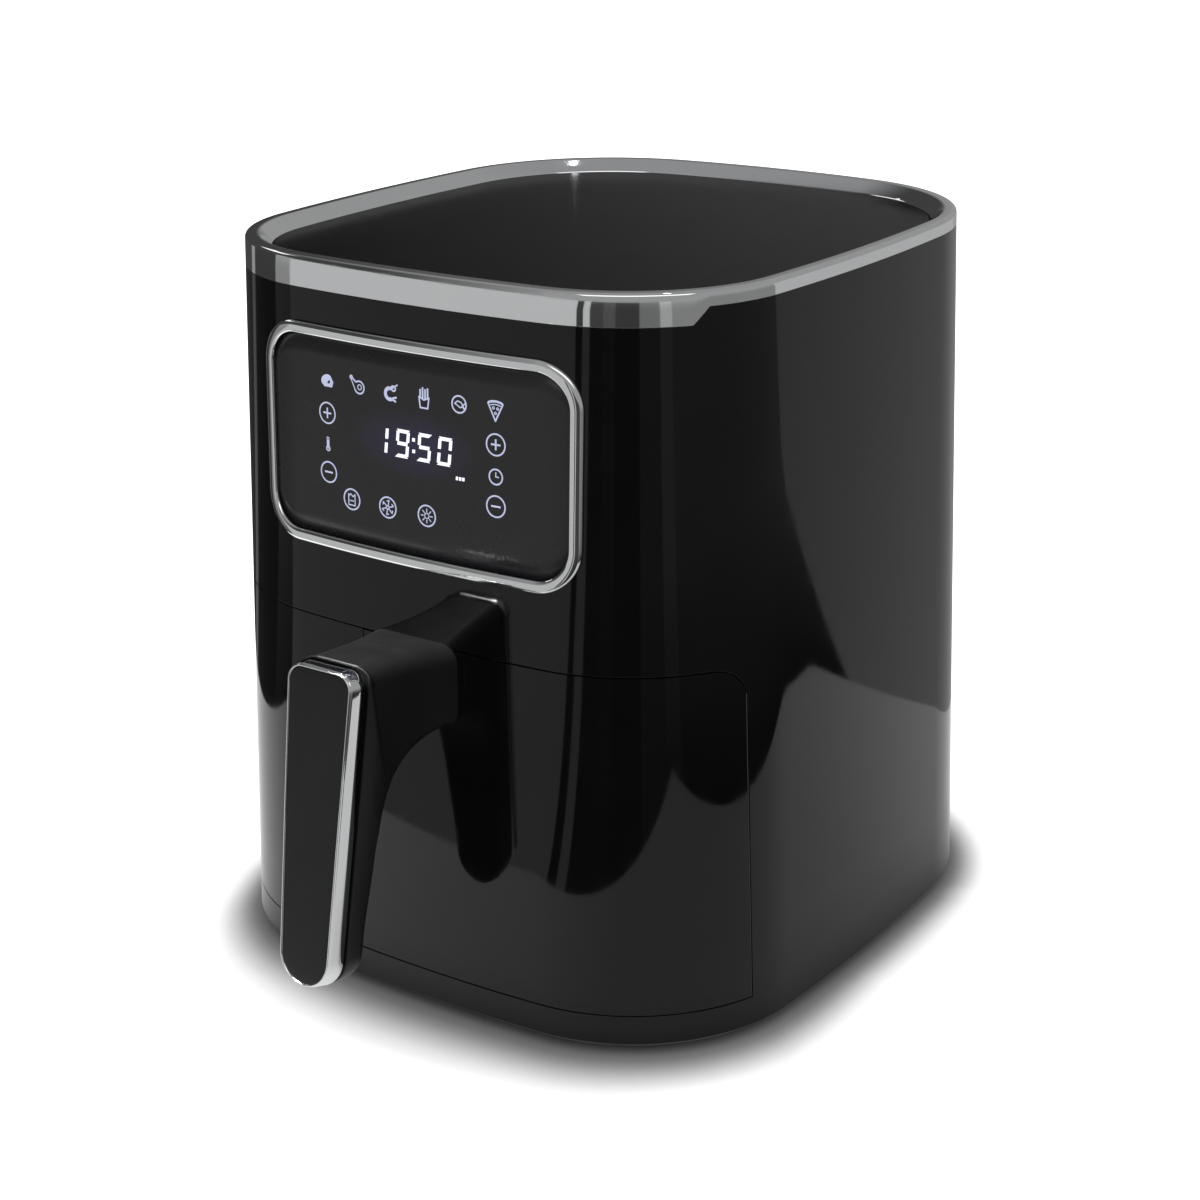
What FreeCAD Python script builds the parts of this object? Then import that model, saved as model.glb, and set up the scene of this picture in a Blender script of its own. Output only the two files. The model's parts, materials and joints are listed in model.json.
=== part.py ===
"""Digital air fryer: rounded, tapered housing, pull-out drawer with pan and crisper plate,
fan and heater unit above it, touch panel in the front.

Millimetres, +Z up. The front faces -Y. Shapes are drawn about the middle of the body and
moved once, at export, so that the footprint of the whole appliance is centred on the origin.
"""
import FreeCAD
import Part
import math
import os

V = FreeCAD.Vector
X_AXIS, Y_AXIS, Z_AXIS = V(1, 0, 0), V(0, 1, 0), V(0, 0, 1)
FAR = 400.0                     # reach of cutting blocks, beyond every part

# ---- body outline: flattened arcs joined by corner arcs, growing towards the floor ----
HEIGHT = 310.0
HALF_WIDTH, HALF_DEPTH = 127.0, 140.0          # at the very top
TAPER = 10.5                                   # growth of every radius from top to floor
SIDE_RADIUS, FRONT_RADIUS, BACK_RADIUS = 900.0, 700.0, 431.4
FRONT_CORNER, BACK_CORNER = 70.0, 84.3
WALL = 2.5

# ---- base and feet ----
FOOT_HEIGHT = 2.0
BASE_TOP = 5.0
BASE_INSET_LOW, BASE_INSET_HIGH = 4.0, 1.0
UPSTAND = 4.0
FOOT_RADIUS = 9.0
FOOT_STUB_RADIUS, FOOT_STUB = 6.0, 1.5         # round stub that locates the foot in the base
FOOT_SPOTS = {
    "front_left": (-92.0, -102.0), "front_right": (92.0, -102.0),
    "rear_left": (-88.0, 98.0), "rear_right": (88.0, 98.0),
}
UPSTAND_THICK = 2.0
SLOT_ROWS, SLOT_FIRST_Y, SLOT_PITCH = 8, -35.0, 10.0
SLOT_X, SLOT_LENGTH, SLOT_WIDTH = (-38.0, 8.0), 30.0, 4.0
BASE_SCREW_X_FRONT, BASE_SCREW_X_REAR, BASE_SCREW_Y_REAR = 60.0, 50.0, 90.0
BASE_SCREW_HEAD, BASE_SCREW_SHANK, BASE_SCREW_TOP = 2.8, 1.0, 12.0
SUPPORT_HALF, SUPPORT_Y = 60.0, (84.0, 96.0)

# ---- top trim ring and cover ----
TRIM_FRONT_Z, TRIM_SIDE_Z = 297.4, 304.0       # lower edge of the band, front and sides
TRIM_STEP_Y = (-110.9, -105.4)                 # slanted step between the two
TRIM_FLANGE_Z = 302.0
TRIM_SLOPE_Z = 304.8
CREST_INSET, SLOPE_INSET = 5.4, 11.4
CREST_CHAMFER = 1.2
COVER_TOP_Z, COVER_LOW_Z = 304.6, 299.5
COVER_FLANGE_GAP, COVER_FLANGE_WIDTH = 0.5, 4.0

# ---- control panel ----
BEZEL_HALF, BEZEL_Z = 78.0, (193.0, 284.0)
BEZEL_BAR, BEZEL_CORNER, BEZEL_PROUD = 5.0, 19.0, 2.0
GLASS_MARGIN = 3.6                             # glass edge inside the bezel's outer edge
BOARD_Y, BOARD_HALF, BOARD_Z = -127.0, 74.0, (202.0, 274.0)
BOARD_THICK = 1.6
ICON_PITCH, ICON_TOP_Z, ICON_LOW_Z = 16.7, 262.0, 215.2
ICON_LEFT, ICON_RIGHT = -42.8, 40.8
PLUS_Z, MODE_Z, MINUS_Z = 248.6, 236.0, 224.3
LOW_ICON_X = (-30.5, -11.6, 8.0)
DISPLAY_X, DISPLAY_Z = (-16.0, 21.0), (235.5, 249.5)
PANEL_BACK_Y = -100.0                          # cuts through the front wall stop here
SPRING_RADIUS = 2.0
CARRIER_HALF, CARRIER_Z, CARRIER_CORNER = 76.0, (192.0, 285.0), 12.0
CARRIER_WINDOW_HALF, CARRIER_WINDOW_Z, CARRIER_WINDOW_CORNER = 62.0, (206.0, 270.0), 6.0
CARRIER_THICK = 2.0
BOSS_X, BOSS_Z, BOSS_RADIUS = 59.0, (208.0, 268.0), 4.0

# ---- drawer ----
OPENING_Z = (17.3, 162.0)
OPENING_Y = -93.5
OPENING_CORNER = 15.0
SEAM = 0.5
DRAWER_SKIN = 2.4
NOTCH_HALF, NOTCH_DEPTH = 26.0, 14.0
NOTCH_GAP = 0.2
BRACKET_THICK, BRACKET_HALF, BRACKET_Z = 1.4, 60.0, (50.0, 140.0)

# ---- pan and crisper plate ----
PAN_Z = (24.0, 150.0)
PAN_WALL = 1.2
PAN_HALF_LOW, PAN_HALF_TOP = 104.0, 108.0
PAN_BACK_LOW, PAN_BACK_TOP = 109.0, 113.0
PAN_FRONT_CORNER, PAN_BACK_CORNER = 15.0, 60.0
PAN_RIM = 3.0
PAN_FRONT_Y = OPENING_Y - SEAM + BRACKET_THICK
PLATE_Z = (38.0, 39.6)
PLATE_HALF, PLATE_Y = 99.0, (-87.0, 104.0)
PLATE_CORNERS = (12.0, 55.0)                   # front, back
PLATE_HOLE, PLATE_PITCH, PLATE_ROWS, PLATE_EDGE = 3.6, 17.0, 5, 5.0
BUMPER_RADIUS = 5.0
BUMPER_SPOTS = ((-86.0, -76.0), (86.0, -76.0), (-80.0, 78.0), (80.0, 78.0))
REST_GAP = 0.3

# ---- inner frame and liner ----
FRAME_Y = (-90.0, -87.5)
SHELF_THICK, SHELF_GAP_TOP, SHELF_GAP_LOW = 2.5, 0.3, 0.4
DOORWAY_SIDE, DOORWAY_LOW, DOORWAY_TOP, DOORWAY_CORNER = 1.3, 1.0, 3.0, 8.0
LINER_HALF, LINER_BACK = 113.5, 121.5
LINER_Z, LINER_BACK_CORNER, LINER_FRONT_CORNER = (20.0, 160.0), 70.0, 1.0
LINER_PAST_FRAME = 80.0                        # trimmed off at the frame
SHEET = 0.8
RAIL_X, RAIL_WIDTH, RAIL_Y = 70.0, 8.0, (-84.0, 100.0)

# ---- heater and fan stack, bottom to top, on the axis x = 0, y = FAN_Y ----
FAN_Y = 12.0
DOME_RADIUS, DOME_TOP = 95.0, 206.0
COIL_Z, COIL_TUBE, COIL_RADII = 172.0, 3.2, (84.0, 64.0)
COIL_BEND, COIL_LEG_GAP, COIL_RISE = 10.0, 8.0, 3.0
DOME_BORE_GAP, DOME_MOUTH_INSET = 2.0, 4.0
GUARD_THICK, GUARD_RING, GUARD_RIM, GUARD_SPOKE = 1.2, 2.0, 5.0, 3.0
GUARD_STEPS = (14.0, 28.0, 42.0, 56.0, 70.0)   # rings, inwards from the dome wall
COIL_BAR_ANGLES, COIL_BAR_HALF, COIL_BAR_THICK = (-30.0, 210.0, 270.0), 4.0, 1.6
PROBE_RADIUS, PROBE_HEAD, PROBE_Z = 2.0, 4.0, 182.0
PROBE_INSIDE, PROBE_OUTSIDE, PROBE_HEAD_OUT = 6.0, 10.0, 4.0         # from the dome wall
CUTOUT_X, CUTOUT_RADIUS = -70.0, 9.0
FAN_DISC_Z, FAN_RADIUS, FAN_BLADES = 198.0, 52.0, 10
SHAFT_RADIUS, SHAFT_Z = 4.0, (182.0, 276.0)
SHIELD_Z, SHIELD_HALF, SHIELD_Y, SHIELD_CORNERS = 210.0, 112.0, (-90.0, 116.0), (40.0, 66.0)
SHIELD_POST, SHIELD_POST_X, SHIELD_POST_Y = 4.0, 45.0, (-45.0, 69.0)
SHAFT_CLEARANCE = 4.0                          # round the shaft, through shield and bridge
FAN_HEIGHT, FAN_HUB = 11.0, 11.0
COOLER_HEIGHT, COOLER_HUB = 9.0, 12.0
BLADE_THICK, BLADE_ROOT, BLADE_TIP_GAP, BLADE_SWEEP = 1.2, 1.0, 0.5, 18.0
DISC_THICK = 1.2
NUT_RADIUS, NUT_THICK = 7.0, 4.0
COOLER_Z, COOLER_RADIUS, COOLER_BLADES = 218.0, 48.0, 9
BRIDGE_Z, BRIDGE_HALF, BRIDGE_DEPTH, BRIDGE_SHEET = 234.0, 60.0, 32.0, 2.0
MOTOR_SCREW_X, MOTOR_SCREW_HEAD, MOTOR_SCREW_SHANK, MOTOR_SCREW_LENGTH = 22.0, 3.5, 2.0, 12.0
MOTOR_RADIUS, MOTOR_LENGTH = 30.0, 36.0
BUSH_RADIUS, BUSH_LENGTH, RUNNING_GAP = 7.0, 6.0, 0.06
ROTOR_RADIUS, ROTOR_GAP = 16.0, 1.0

# ---- exhaust, cord inlet, switch ----
DUCT_HALF, DUCT_Z = 32.0, (168.0, 202.0)
DUCT_FRONT_Y, DUCT_CLEARANCE = 60.0, 1.0
GRILLE_MARGIN, LOUVRES, LOUVRE_SLOT, LOUVRE_EDGE = 4.0, 6, 3.2, 2.0
REAR_CUT_Y = 100.0                             # cuts through the rear wall start here
GLAND_X, GLAND_Z, GLAND_BORE = 45.0, 34.0, 4.0
GLAND_BODY, GLAND_FLANGE, GLAND_END = 7.0, 10.0, 149.4
GLAND_LENGTH, GLAND_FLANGE_LENGTH = 11.0, 6.0
SWITCH_X, SWITCH_Z = (116.4, 122.8), (98.0, 120.0)
SWITCH_BACK = -71.0
PLUNGER_RADIUS, PLUNGER_Z, PLUNGER_GAP = 1.2, 114.0, 0.3
PLUNGER_IN_CASE, PLUNGER_BORE = 5.0, 6.0
PLUG_RADIUS, PLUG_Y, PLUG_Z = 1.8, -45.0, 12.5

# ---- handle: a leaning grip on a flared arm ----
GRIP_TOP, GRIP_BOTTOM = (-200.9, 170.0), (-221.0, 40.0)       # (y, z) of the front face
GRIP_HALF_TOP, GRIP_HALF_LOW = 17.0, 13.8
GRIP_TOP_CORNER = 8.0
GRIP_DEPTH, TRIM_DEPTH, GROOVE = 22.0, 8.0, 1.8
TRIM_WIDTH, INLAY_THICK, INLAY_RECESS = 2.0, 0.9, 0.3
ARM_Z = (131.0, 163.5)
ARM_HALF_GRIP, ARM_HALF_ROOT, ARM_HALF_BACK = 15.5, 21.5, 22.5
ARM_BACK_Y = -140.0
ARM_TOP_FRONT, ARM_TOP_MIDDLE = (-191.0, 168.4), (-165.0, 165.8)          # (y, z)
ARM_TURN, ARM_ARC, ARM_FOOT = (-160.0, 129.0), (-180.0, 120.0), (-190.0, 96.0)
ARM_FOOT_FRONT_Y = -200.0
ARM_FRONT_Y, ARM_FLARE_START_Y, ARM_FLARE_END_Y = -205.0, -178.0, -150.0
ARM_FLARE_MIDDLE = (17.1, -163.0)              # (x, y)
HANDLE_SCREW_X, HANDLE_SCREW_Z = 12.0, 141.0
HANDLE_SCREW_Y = (-165.0, -140.5, -138.0)      # tip, underside of head, top of head
HANDLE_SCREW_HEAD, HANDLE_SCREW_SHANK = 4.0, 2.0

# ---- power board and wiring ----
POWER_X, POWER_Y, POWER_Z = (-108.0, -65.0), (-45.0, 65.0), 222.0
POST_RADIUS, POST_INSET = 3.0, 5.0
RELAY = ((-104.0, -86.0), (-20.0, 0.0), 16.0)                  # x range, y range, height
TRANSFORMER = ((-102.0, -76.0), (6.0, 32.0), 22.0)
TERMINALS = ((-84.0, -70.0), (38.0, 62.0), 12.0)
CAPACITORS = ((-77.0, -12.0, 20.0, 6.0), (-98.0, 44.0, 14.0, 5.0))        # x, y, height, radius
RIBBON_THICK, RIBBON_RISE, RIBBON_STRAIGHT, RIBBON_REACH = 0.8, 12.0, 10.0, 12.0


# ======================= general helpers =======================
def block(x_range, y_range, z_range):
    """Axis-aligned box from three (low, high) pairs."""
    size = [high - low for low, high in (x_range, y_range, z_range)]
    return Part.makeBox(*size, V(x_range[0], y_range[0], z_range[0]))


def disc(x, y, z_range, radius):
    """Upright cylinder."""
    return Part.makeCylinder(radius, z_range[1] - z_range[0], V(x, y, z_range[0]), Z_AXIS)


def rod_y(x, z, y_range, radius):
    """Cylinder along Y."""
    return Part.makeCylinder(radius, y_range[1] - y_range[0], V(x, y_range[0], z), Y_AXIS)


def fused(shapes):
    """Union of a list of touching or overlapping shapes as one solid."""
    return shapes[0].multiFuse(shapes[1:]).removeSplitter()


def group(shapes):
    """Separate solids kept together in one node."""
    return Part.makeCompound(shapes)


def rounded_wire(low, high, radii, place):
    """Rounded rectangle between two (u, v) corners.

    radii is for low-u low-v, high-u low-v, high-u high-v and low-u high-v;
    place turns (u, v) into a point.
    """
    (u0, v0), (u1, v1) = low, high
    corners = ((u0, v0, 1, 1), (u1, v0, -1, 1), (u1, v1, -1, -1), (u0, v1, 1, -1))
    arcs = []
    for index, ((u, v, du, dv), radius) in enumerate(zip(corners, radii)):
        centre = (u + du * radius, v + dv * radius)
        side = (u, centre[1])
        end = (centre[0], v)
        middle = (centre[0] - du * radius * math.sqrt(0.5), centre[1] - dv * radius * math.sqrt(0.5))
        first, last = (side, end) if index % 2 == 0 else (end, side)
        arcs.append((first, middle, last))
    edges = []
    for index, (first, middle, last) in enumerate(arcs):
        edges.append(Part.Arc(place(*first), place(*middle), place(*last)).toShape())
        following = arcs[(index + 1) % len(arcs)][0]
        edges.append(Part.LineSegment(place(*last), place(*following)).toShape())
    return Part.Wire(edges)


def level_wire(half, y_range, z, front_radius, back_radius):
    """Rounded rectangle lying flat at height z."""
    radii = (front_radius, front_radius, back_radius, back_radius)
    return rounded_wire((-half, y_range[0]), (half, y_range[1]), radii, lambda u, v: V(u, v, z))


def level_plate(half, y_range, z_range, front_radius, back_radius):
    """Flat plate with a rounded-rectangle outline."""
    wire = level_wire(half, y_range, z_range[0], front_radius, back_radius)
    return Part.Face(wire).extrude(V(0, 0, z_range[1] - z_range[0]))


def front_prism(half, z_range, radius, y_range):
    """Rounded rectangle seen from the front, extruded along Y."""
    radii = (radius,) * 4
    wire = rounded_wire((-half, z_range[0]), (half, z_range[1]), radii,
                        lambda u, v: V(u, y_range[0], v))
    return Part.Face(wire).extrude(V(0, y_range[1] - y_range[0], 0))


def side_prism(points, half=FAR):
    """Polygon of (y, z) points seen from the side, extruded across the width."""
    corners = [V(-half, y, z) for y, z in points]
    return Part.Face(Part.makePolygon(corners + corners[:1])).extrude(V(2 * half, 0, 0))


# ======================= body outline =======================
def corner_centre(end_radius, corner_radius):
    """Centre, in the +x +y quadrant, of the arc that joins the side arc to an end arc."""
    side = (HALF_WIDTH - SIDE_RADIUS, 0.0)
    end = (0.0, HALF_DEPTH - end_radius)
    reach_side = SIDE_RADIUS - corner_radius
    reach_end = end_radius - corner_radius
    dx, dy = end[0] - side[0], end[1] - side[1]
    gap = math.hypot(dx, dy)
    along = (reach_side ** 2 - reach_end ** 2 + gap ** 2) / (2 * gap)
    across = math.sqrt(reach_side ** 2 - along ** 2)
    return (side[0] + (along * dx - across * dy) / gap, side[1] + (along * dy + across * dx) / gap)


def corner_points(end_radius, corner_radius, grow):
    """Tangent points and middle of one corner arc: side end, middle, front or back end."""
    cx, cy = corner_centre(end_radius, corner_radius)
    radius = corner_radius + grow
    from_side = math.atan2(cy, cx - (HALF_WIDTH - SIDE_RADIUS))
    from_end = math.atan2(cy - (HALF_DEPTH - end_radius), cx)
    angles = (from_side, (from_side + from_end) / 2, from_end)
    return [(cx + radius * math.cos(a), cy + radius * math.sin(a)) for a in angles]


def outline_wire(grow, z):
    """Closed body outline at height z, every radius grown by the same amount."""
    front = corner_points(FRONT_RADIUS, FRONT_CORNER, grow)
    back = corner_points(BACK_RADIUS, BACK_CORNER, grow)
    right_front = [V(x, -y, z) for x, y in front]
    right_back = [V(x, y, z) for x, y in back]
    left_front = [V(-x, -y, z) for x, y in front]
    left_back = [V(-x, y, z) for x, y in back]
    side, end = HALF_WIDTH + grow, HALF_DEPTH + grow
    arcs = [
        (left_front[2], V(0, -end, z), right_front[2]),
        (right_front[2], right_front[1], right_front[0]),
        (right_front[0], V(side, 0, z), right_back[0]),
        (right_back[0], right_back[1], right_back[2]),
        (right_back[2], V(0, end, z), left_back[2]),
        (left_back[2], left_back[1], left_back[0]),
        (left_back[0], V(-side, 0, z), left_front[0]),
        (left_front[0], left_front[1], left_front[2]),
    ]
    return Part.Wire([Part.Arc(*arc).toShape() for arc in arcs])


def growth(z):
    """How far the outline at height z stands outside the outline at the top."""
    return TAPER * (1.0 - z / HEIGHT)


def slab(z_range, inset_low, inset_high=None):
    """Solid of the body outline between two heights, pulled in from the outer surface."""
    if inset_high is None:
        inset_high = inset_low
    low = outline_wire(growth(z_range[0]) - inset_low, z_range[0])
    high = outline_wire(growth(z_range[1]) - inset_high, z_range[1])
    return Part.makeLoft([low, high], True, True)


OUTER = slab((BASE_TOP, HEIGHT), 0.0)
INNER = slab((BASE_TOP - 1.0, HEIGHT + 1.0), WALL)
SKIN = OUTER.cut(INNER)


def level_cut(z_range):
    """Horizontal layer that spans everything."""
    return block((-FAR, FAR), (-FAR, FAR), z_range)


# ======================= housing, base, trim =======================
def trim_zone():
    """Everything above the stepped lower edge of the trim ring."""
    y_low, y_high = TRIM_STEP_Y
    top = HEIGHT + 10.0
    return side_prism([(-FAR, TRIM_FRONT_Z), (y_low, TRIM_FRONT_Z), (y_high, TRIM_SIDE_Z),
                       (FAR, TRIM_SIDE_Z), (FAR, top), (-FAR, top)])


def drawer_zone(gap):
    """Front lower region of the body, seen from the side, with its rounded upper corner."""
    z0, z1 = OPENING_Z[0] + gap, OPENING_Z[1] - gap
    radii = (0.01, 0.01, OPENING_CORNER - gap, 0.01)
    wire = rounded_wire((-FAR, z0), (OPENING_Y - gap, z1), radii, lambda u, v: V(-FAR, u, v))
    return Part.Face(wire).extrude(V(2 * FAR, 0, 0))


def glass_outline(y_range):
    """Prism of the glass panel's outline."""
    z_range = (BEZEL_Z[0] + GLASS_MARGIN, BEZEL_Z[1] - GLASS_MARGIN)
    return front_prism(BEZEL_HALF - GLASS_MARGIN, z_range, BEZEL_CORNER - GLASS_MARGIN, y_range)


def grille_outline():
    """Prism of the exhaust grille's outline in the rear wall."""
    z_range = (DUCT_Z[0] - GRILLE_MARGIN, DUCT_Z[1] + GRILLE_MARGIN)
    return front_prism(DUCT_HALF + GRILLE_MARGIN, z_range, GRILLE_MARGIN, (REAR_CUT_Y, FAR))


def side_plugs():
    """Short cylinders through both side walls."""
    reach = HALF_WIDTH + 2 * TAPER
    return Part.makeCylinder(PLUG_RADIUS, 2 * reach, V(-reach, PLUG_Y, PLUG_Z), X_AXIS)


def outer_housing():
    shell = SKIN.cut(trim_zone())
    shell = shell.cut(drawer_zone(0.0))
    shell = shell.cut(glass_outline((-FAR, PANEL_BACK_Y)))
    shell = shell.cut(grille_outline())
    shell = shell.cut(side_plugs())
    return shell.cut(rod_y(GLAND_X, GLAND_Z, (REAR_CUT_Y, FAR), GLAND_BODY))


def side_screw_plugs():
    return SKIN.common(side_plugs())


def top_trim_ring():
    skirt = SKIN.common(trim_zone())
    flange = INNER.common(level_cut((TRIM_FLANGE_Z, HEIGHT)))
    lip = slab((TRIM_FLANGE_Z - 1.0, TRIM_SLOPE_Z), SLOPE_INSET)
    slope = slab((TRIM_SLOPE_Z, HEIGHT), SLOPE_INSET, CREST_INSET)
    ring = fused([skirt, flange]).cut(lip).cut(slope)
    crown = (HEIGHT - CREST_CHAMFER, HEIGHT)
    return ring.cut(level_cut(crown).cut(slab(crown, 0.0, CREST_CHAMFER)))


def top_cover():
    """Recessed lid: a plate inside the ring, with a flange that runs under it."""
    under_ring = (COVER_LOW_Z, TRIM_FLANGE_Z)
    flange = slab(under_ring, WALL + COVER_FLANGE_GAP)
    flange = flange.cut(slab(under_ring, SLOPE_INSET + COVER_FLANGE_WIDTH))
    plate = slab((TRIM_FLANGE_Z, COVER_TOP_Z), SLOPE_INSET + REST_GAP)
    return fused([flange, plate])


def base_plate():
    tray = slab((FOOT_HEIGHT, BASE_TOP), BASE_INSET_LOW, BASE_INSET_HIGH)
    upstand = (BASE_TOP, BASE_TOP + UPSTAND)
    rim = slab(upstand, WALL + REST_GAP).cut(slab(upstand, WALL + REST_GAP + UPSTAND_THICK))
    plate = fused([tray, rim])
    for row in range(SLOT_ROWS):
        y = SLOT_FIRST_Y + SLOT_PITCH * row
        for x in SLOT_X:
            plate = plate.cut(block((x, x + SLOT_LENGTH), (y, y + SLOT_WIDTH), (0.0, BASE_TOP)))
    for x, y in FOOT_SPOTS.values():
        plate = plate.cut(foot_stub(x, y))
    return plate.cut(group(base_screw_shapes()))


def foot_stub(x, y):
    return disc(x, y, (FOOT_HEIGHT, FOOT_HEIGHT + FOOT_STUB), FOOT_STUB_RADIUS)


def foot(x, y):
    pad = disc(x, y, (0.0, FOOT_HEIGHT), FOOT_RADIUS)
    return fused([pad, foot_stub(x, y)])


def base_screw_shapes():
    """Two screws into the front frame and two into the rear support."""
    frame_middle = sum(FRAME_Y) / 2
    underside = FOOT_HEIGHT + FOOT_STUB
    shapes = []
    for side in (-1, 1):
        for x, y in ((BASE_SCREW_X_FRONT, frame_middle), (BASE_SCREW_X_REAR, BASE_SCREW_Y_REAR)):
            head = disc(side * x, y, (FOOT_HEIGHT, underside), BASE_SCREW_HEAD)
            shank = disc(side * x, y, (underside, BASE_SCREW_TOP), BASE_SCREW_SHANK)
            shapes.append(fused([head, shank]))
    return shapes


def rear_support():
    bar = block((-SUPPORT_HALF, SUPPORT_HALF), SUPPORT_Y, (BASE_TOP, LINER_Z[0] - SHEET))
    return bar.cut(group(base_screw_shapes()))


# ======================= control panel =======================
def control_glass():
    return SKIN.common(glass_outline((-FAR, PANEL_BACK_Y)))


def control_bezel():
    reach = (-FAR, PANEL_BACK_Y)
    outer = front_prism(BEZEL_HALF, BEZEL_Z, BEZEL_CORNER, reach)
    z_range = (BEZEL_Z[0] + BEZEL_BAR, BEZEL_Z[1] - BEZEL_BAR)
    inner = front_prism(BEZEL_HALF - BEZEL_BAR, z_range, BEZEL_CORNER - BEZEL_BAR, reach)
    layer = slab((BEZEL_Z[0] - BEZEL_BAR, BEZEL_Z[1] + BEZEL_BAR), -BEZEL_PROUD).cut(OUTER)
    return layer.common(outer.cut(inner))


def icon_spots():
    """Places (x, z) of the touch keys on the panel."""
    spots = [(ICON_LEFT + ICON_PITCH * i, ICON_TOP_Z) for i in range(6)]
    for x in (ICON_LEFT, ICON_RIGHT):
        spots += [(x, PLUS_Z), (x, MODE_Z), (x, MINUS_Z)]
    return spots + [(x, ICON_LOW_Z) for x in LOW_ICON_X]


def touch_springs():
    rods = [rod_y(x, z, (-FAR, BOARD_Y), SPRING_RADIUS).common(INNER) for x, z in icon_spots()]
    return group(rods)


def led_display():
    return block(DISPLAY_X, (-FAR, BOARD_Y), DISPLAY_Z).common(INNER)


def control_board():
    return block((-BOARD_HALF, BOARD_HALF), (BOARD_Y, BOARD_Y + BOARD_THICK), BOARD_Z)


def panel_carrier():
    """Frame behind the glass, with four bosses that hold the board."""
    reach = (-FAR, PANEL_BACK_Y)
    outer = front_prism(CARRIER_HALF, CARRIER_Z, CARRIER_CORNER, reach)
    window = front_prism(CARRIER_WINDOW_HALF, CARRIER_WINDOW_Z, CARRIER_WINDOW_CORNER, reach)
    layer = INNER.cut(slab((OPENING_Z[1], HEIGHT), WALL + CARRIER_THICK))
    shapes = [layer.common(outer.cut(window))]
    for x in (-BOSS_X, BOSS_X):
        for z in BOSS_Z:
            shapes.append(rod_y(x, z, (-FAR, BOARD_Y), BOSS_RADIUS).common(INNER))
    return fused(shapes)


# ======================= drawer =======================
def drawer_block():
    return OUTER.common(drawer_zone(SEAM))


def root_notch(gap):
    """Upright slot in the drawer's upper edge that takes the handle's root plate."""
    top = OPENING_Z[1] - SEAM
    half = NOTCH_HALF + gap
    return block((-half, half), (-FAR, PANEL_BACK_Y), (top - NOTCH_DEPTH - gap, top + NOTCH_DEPTH))


def drawer_front():
    back = OPENING_Y - SEAM - DRAWER_SKIN
    hollow = INNER.common(drawer_zone(SEAM + DRAWER_SKIN))
    plate_space = INNER.common(block((-FAR, FAR), (back, FAR), OPENING_Z))
    shell = drawer_block().cut(hollow).cut(plate_space)
    return shell.cut(root_notch(NOTCH_GAP).common(SKIN)).cut(group(handle_screw_shapes()))


def drawer_backplate():
    back = OPENING_Y - SEAM
    plate = INNER.common(drawer_block())
    return plate.common(block((-FAR, FAR), (back - DRAWER_SKIN, back), OPENING_Z))


def handle_root_plate():
    return drawer_block().common(SKIN).common(root_notch(0.0))


def pan_bracket():
    back = OPENING_Y - SEAM
    return block((-BRACKET_HALF, BRACKET_HALF), (back, back + BRACKET_THICK), BRACKET_Z)


def pan_body(inset):
    """Solid of the pan's widening shape, pulled in from its outer surface."""
    wires = []
    sizes = ((PAN_HALF_LOW, PAN_BACK_LOW, PAN_Z[0]), (PAN_HALF_TOP, PAN_BACK_TOP, PAN_Z[1]))
    for half, back, z in sizes:
        wires.append(level_wire(half - inset, (PAN_FRONT_Y + inset, back - inset), z,
                                PAN_FRONT_CORNER - inset, PAN_BACK_CORNER - inset))
    return Part.makeLoft(wires, True, True)


def drawer_pan():
    floor, top = PAN_Z
    inner = pan_body(PAN_WALL).common(level_cut((floor + PAN_WALL, top)))
    rim = level_plate(PAN_HALF_TOP + PAN_RIM, (PAN_FRONT_Y, PAN_BACK_TOP + PAN_RIM),
                      (top - PAN_WALL, top), PAN_FRONT_CORNER, PAN_BACK_CORNER)
    return fused([pan_body(0.0), rim]).cut(inner)


def crisper_plate():
    plate = level_plate(PLATE_HALF, PLATE_Y, PLATE_Z, *PLATE_CORNERS)
    middle = sum(PLATE_Y) / 2
    holes = []
    for row in range(-PLATE_ROWS, PLATE_ROWS + 1):
        for column in range(-PLATE_ROWS, PLATE_ROWS + 1):
            x, y = column * PLATE_PITCH, row * PLATE_PITCH
            if math.hypot(x, y) < PLATE_HALF - PLATE_EDGE:
                holes.append(disc(x, middle + y, PLATE_Z, PLATE_HOLE))
    return plate.cut(group(holes))


def plate_bumpers():
    floor = PAN_Z[0] + PAN_WALL + REST_GAP
    return group([disc(x, y, (floor, PLATE_Z[0]), BUMPER_RADIUS) for x, y in BUMPER_SPOTS])


# ======================= handle =======================
def grip_point(u, v, w):
    """Point of the grip's own frame: u across, v up along the front face, w outwards from it."""
    y0, z0 = GRIP_BOTTOM
    dy, dz = GRIP_TOP[0] - y0, GRIP_TOP[1] - z0
    length = math.hypot(dy, dz)
    up_y, up_z = dy / length, dz / length
    return V(u, y0 + v * up_y - w * up_z, z0 + v * up_z + w * up_y)


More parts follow.
